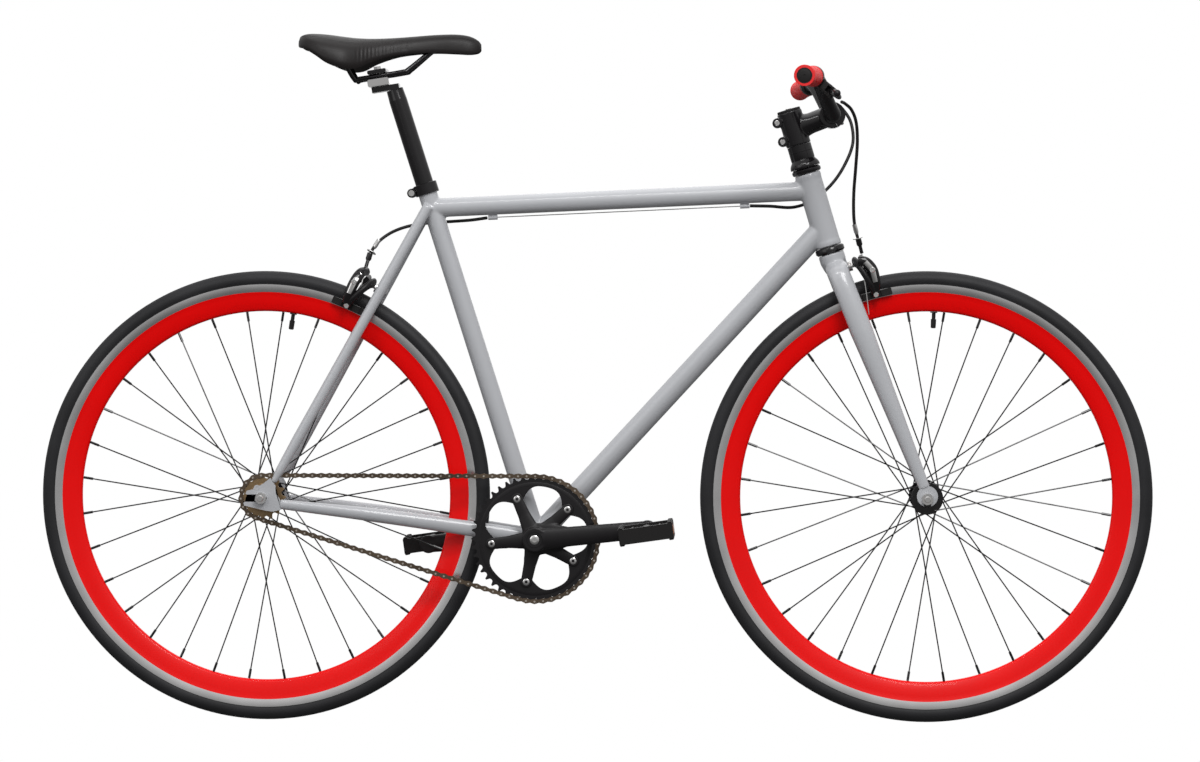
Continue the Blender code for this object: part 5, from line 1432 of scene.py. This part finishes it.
# Half section: share of the half width, share of the height between edge and top
SADDLE_SECTION = [
    (0.0, 0.96), (0.07, 0.965), (0.14, 0.99), (0.30, 1.0), (0.45, 0.985), (0.60, 0.95), (0.72, 0.895),
    (0.82, 0.80), (0.90, 0.68),
    (0.955, 0.53), (0.99, 0.36), (1.0, 0.22), (1.0, 0.10), (0.96, 0.0), (0.84, 0.10), (0.45, 0.42),
    (0.0, 0.50),
]
PLEAT_FIRST, PLEAT_LAST, PLEAT_PITCH, PLEAT_DEPTH = -0.030, 0.050, 0.0054, 0.0013
SEAM_DEPTH = 0.0007
TOP_ROOM = 0.0004
SADDLE_STEPS = 14


def saddle_station(share):
    """Reads the stations smoothly, share counting stations from the tail."""
    index = min(int(share), len(SADDLE_STATIONS) - 2)
    t = share - index
    a = SADDLE_STATIONS[max(index - 1, 0)]
    b, c = SADDLE_STATIONS[index], SADDLE_STATIONS[index + 1]
    d = SADDLE_STATIONS[min(index + 2, len(SADDLE_STATIONS) - 1)]
    return [
        0.5 * (
            (2 * q) + (r - p) * t + (
                2 * p - 5 * q + 4 * r - s
            ) * t ** 2 + (3 * q - p - 3 * r + s) * t ** 3
        )
        for p, q, r, s in zip(a, b, c, d)
    ]


def saddle():
    """Crowned cushion with a channel along the top, a piped seam and ribbed pleats on the flanks."""
    bm = bmesh.new()
    loops = []
    for k in range((len(SADDLE_STATIONS) - 1) * SADDLE_STEPS + 1):
        x, top, low, half = saddle_station(k / SADDLE_STEPS)
        pleats = PLEAT_FIRST < x < PLEAT_LAST
        fade = min(1.0, (x - PLEAT_FIRST) / 0.006, (PLEAT_LAST - x) / 0.006) if pleats else 0.0
        rib = PLEAT_DEPTH * fade * (0.5 - 0.5 * math.cos(2 * math.pi * (x - PLEAT_FIRST) / PLEAT_PITCH))
        right = []
        for y, h in SADDLE_SECTION:
            flank = 1.0 if 0.15 < h < 0.85 and y > 0.78 else 0.0
            seam = SEAM_DEPTH if 0.72 <= y < 0.84 and h > 0.78 else 0.0
            shrink = rib * flank + seam
            right.append((-(y * half - shrink * y), low + (top - TOP_ROOM - low) * h - seam * 0.6))
        left = [(-y, z) for y, z in reversed(right[1:-1])]
        loops.append([bm.verts.new(RAIL_CENTRE + Vector((x, y, z))) for y, z in right + left])
    for low, high in zip(loops, loops[1:]):
        bridge(bm, low, high)
    bm.faces.new(loops[0])
    bm.faces.new(loops[-1])
    obj = finish_piece("saddle_cushion", bm, "saddle_cover", "seat", ["saddle"], 60)
    stitches = bmesh.new()
    for sign in (-1, 1):
        for k in range(20, 180):
            x, top, low, half = saddle_station(k / 200 * (len(SADDLE_STATIONS) - 1))
            place = RAIL_CENTRE + Vector((x, sign * half * 0.815, low + (top - low) * 0.805 + 0.0002))
            after = saddle_station((k + 0.55) / 200 * (len(SADDLE_STATIONS) - 1))
            end = RAIL_CENTRE + Vector(
                (after[0], sign * after[3] * 0.815, after[2] + (after[1] - after[2]) * 0.805 + 0.0002)
            )
            add_tube(stitches, [place, end], 0.00035, sides=5)
    finish_piece("saddle_stitches", stitches, "saddle_cover", "seat")


FRONT_CABLE_POINTS = [
    (0.3640, -0.1120, 0.9190), (0.3690, -0.1020, 0.9170), (0.3790, -0.0900, 0.9080),
    (0.3860, -0.0800, 0.8900), (0.3880, -0.0700, 0.8620), (0.3860, -0.0600, 0.8250),
    (0.3835, -0.0500, 0.7880), (0.3835, -0.0450, 0.7560), (0.3860, -0.0420, 0.7350),
    (0.3915, -0.0390, 0.7150), (0.3955, -0.0360, 0.6995),
]
REAR_CABLE_FRONT_POINTS = [
    (0.3640, 0.1120, 0.9190), (0.3690, 0.1020, 0.9170), (0.3820, 0.0900, 0.8960),
    (0.3850, 0.0780, 0.8640), (0.3720, 0.0640, 0.8300), (0.3520, 0.0480, 0.8010),
    (0.3250, 0.0330, 0.7780), (0.2950, 0.0200, 0.7670), (0.2600, 0.0040, 0.7684),
    (0.2306, 0.0000, 0.7689),
]
REAR_CABLE_REAR_POINTS = [
    (-0.1610, 0.0000, 0.7512), (-0.1850, 0.0080, 0.7480), (-0.2150, 0.0240, 0.7460),
    (-0.2500, 0.0360, 0.7440), (-0.2850, 0.0360, 0.7380), (-0.3100, 0.0200, 0.7270),
    (-0.3290, 0.0070, 0.7100), (-0.3385, 0.0000, 0.6900), (-0.3430, -0.0040, 0.6750),
]
CABLE_RADIUS = 0.0025
WIRE_RADIUS = 0.0008


def cables():
    """Black casings and the wire tails below their anchors."""
    for name, points, body, node in (
        ("front_brake_casing", FRONT_CABLE_POINTS, "steering", "front_cable"),
        ("rear_brake_casing_front", REAR_CABLE_FRONT_POINTS, None, "rear_cable_front"),
        ("rear_brake_casing_rear", REAR_CABLE_REAR_POINTS, "frame", "rear_cable_rear"),
    ):
        route = curve_points(points, 10)
        bm = bmesh.new()
        add_tube(bm, route, CABLE_RADIUS - 0.0001, sides=24)
        obj = finish_piece(name, bm, "black_plastic", body, [node])
        if node == "rear_cable_front":
            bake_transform(obj)
    for word, tail in (
        (
            "front",
            [
                (0.3958, -0.0360, 0.6985), (0.3985, -0.0350, 0.6700), (0.4040, -0.0345, 0.6300),
                (0.4065, -0.0340, 0.6080)
            ]
        ),
        ("rear", [(-0.3430, -0.0050, 0.6740), (-0.3455, -0.0160, 0.6600), (-0.3470, -0.0180, 0.6480)]),
    ):
        bm = bmesh.new()
        add_tube(bm, curve_points(tail, 6), WIRE_RADIUS, sides=8)
        finish_piece(f"{word}_brake_wire", bm, "chrome", f"{word}_arm_right")


def studio():
    """White backdrop that only the camera sees as white, and broad soft lights."""
    world = bpy.data.worlds.new("studio")
    bpy.context.scene.world = world
    world.use_nodes = True
    tree = world.node_tree
    tree.nodes.clear()
    output = tree.nodes.new("ShaderNodeOutputWorld")
    mix = tree.nodes.new("ShaderNodeMixShader")
    path = tree.nodes.new("ShaderNodeLightPath")
    seen = tree.nodes.new("ShaderNodeBackground")
    lit = tree.nodes.new("ShaderNodeBackground")
    seen.inputs["Color"].default_value = (1.0, 1.0, 1.0, 1.0)
    seen.inputs["Strength"].default_value = 1.0
    lit.inputs["Strength"].default_value = 0.62
    place = tree.nodes.new("ShaderNodeTexCoord")
    split = tree.nodes.new("ShaderNodeSeparateXYZ")
    grade = tree.nodes.new("ShaderNodeValToRGB")
    height = tree.nodes.new("ShaderNodeMapRange")
    height.inputs["From Min"].default_value = -1.0
    for element, position, value in zip(grade.color_ramp.elements, (0.34, 0.66), (0.20, 1.0)):
        element.position = position
        element.color = (value, value, value, 1.0)
    tree.links.new(place.outputs["Generated"], split.inputs["Vector"])
    tree.links.new(split.outputs["Z"], height.inputs["Value"])
    tree.links.new(height.outputs["Result"], grade.inputs["Fac"])
    tree.links.new(grade.outputs["Color"], lit.inputs["Color"])
    tree.links.new(path.outputs["Is Camera Ray"], mix.inputs["Fac"])
    tree.links.new(lit.outputs["Background"], mix.inputs[1])
    tree.links.new(seen.outputs["Background"], mix.inputs[2])
    tree.links.new(mix.outputs["Shader"], output.inputs["Surface"])
    for name, place, size, power in (
        ("key", (0.8, -2.6, 2.6), (1.2, 1.2), 40.0), ("fill", (-2.4, -2.2, 1.6), (2.0, 2.0), 10.0),
        ("strip", (0.0, -2.0, 3.0), (3.4, 0.18), 26.0), ("top", (0.0, 0.6, 3.0), (2.4, 2.4), 18.0),
        ("back", (0.4, 2.8, 1.8), (2.4, 2.4), 14.0),
    ):
        data = bpy.data.lights.new(name, "AREA")
        data.shape = "RECTANGLE"
        data.size, data.size_y = size
        data.energy = power
        obj = bpy.data.objects.new(name, data)
        bpy.context.scene.collection.objects.link(obj)
        obj.location = place
        obj.rotation_euler = (Vector((0.0, 0.0, 0.5)) - Vector(place)).to_track_quat("-Z", "Y").to_euler()
    bpy.context.scene.view_settings.view_transform = "Standard"


def dress_remaining():
    """Every CAD node that still shows takes its slot's surface."""
    slots = {
        "handlebar": "black_metal",
    }
    for name, parts in NODES.items():
        for obj in parts if isinstance(parts, (list, tuple)) else [parts]:
            look = MATERIALS[slots.get(name, "black_metal")]
            obj.data.materials.clear()
            obj.data.materials.append(look)


dress_remaining()
wheels()
main_frame()
rear_dropouts()
cable_stops()
seat_collar()
headset_cups()
bracket_cups()
fork()
stem()
handlebar()
levers()
drive()
for which in ("front", "rear"):
    caliper(which)
    cable_end(which)
seat_hardware()
saddle()
cables()
studio()
camera()
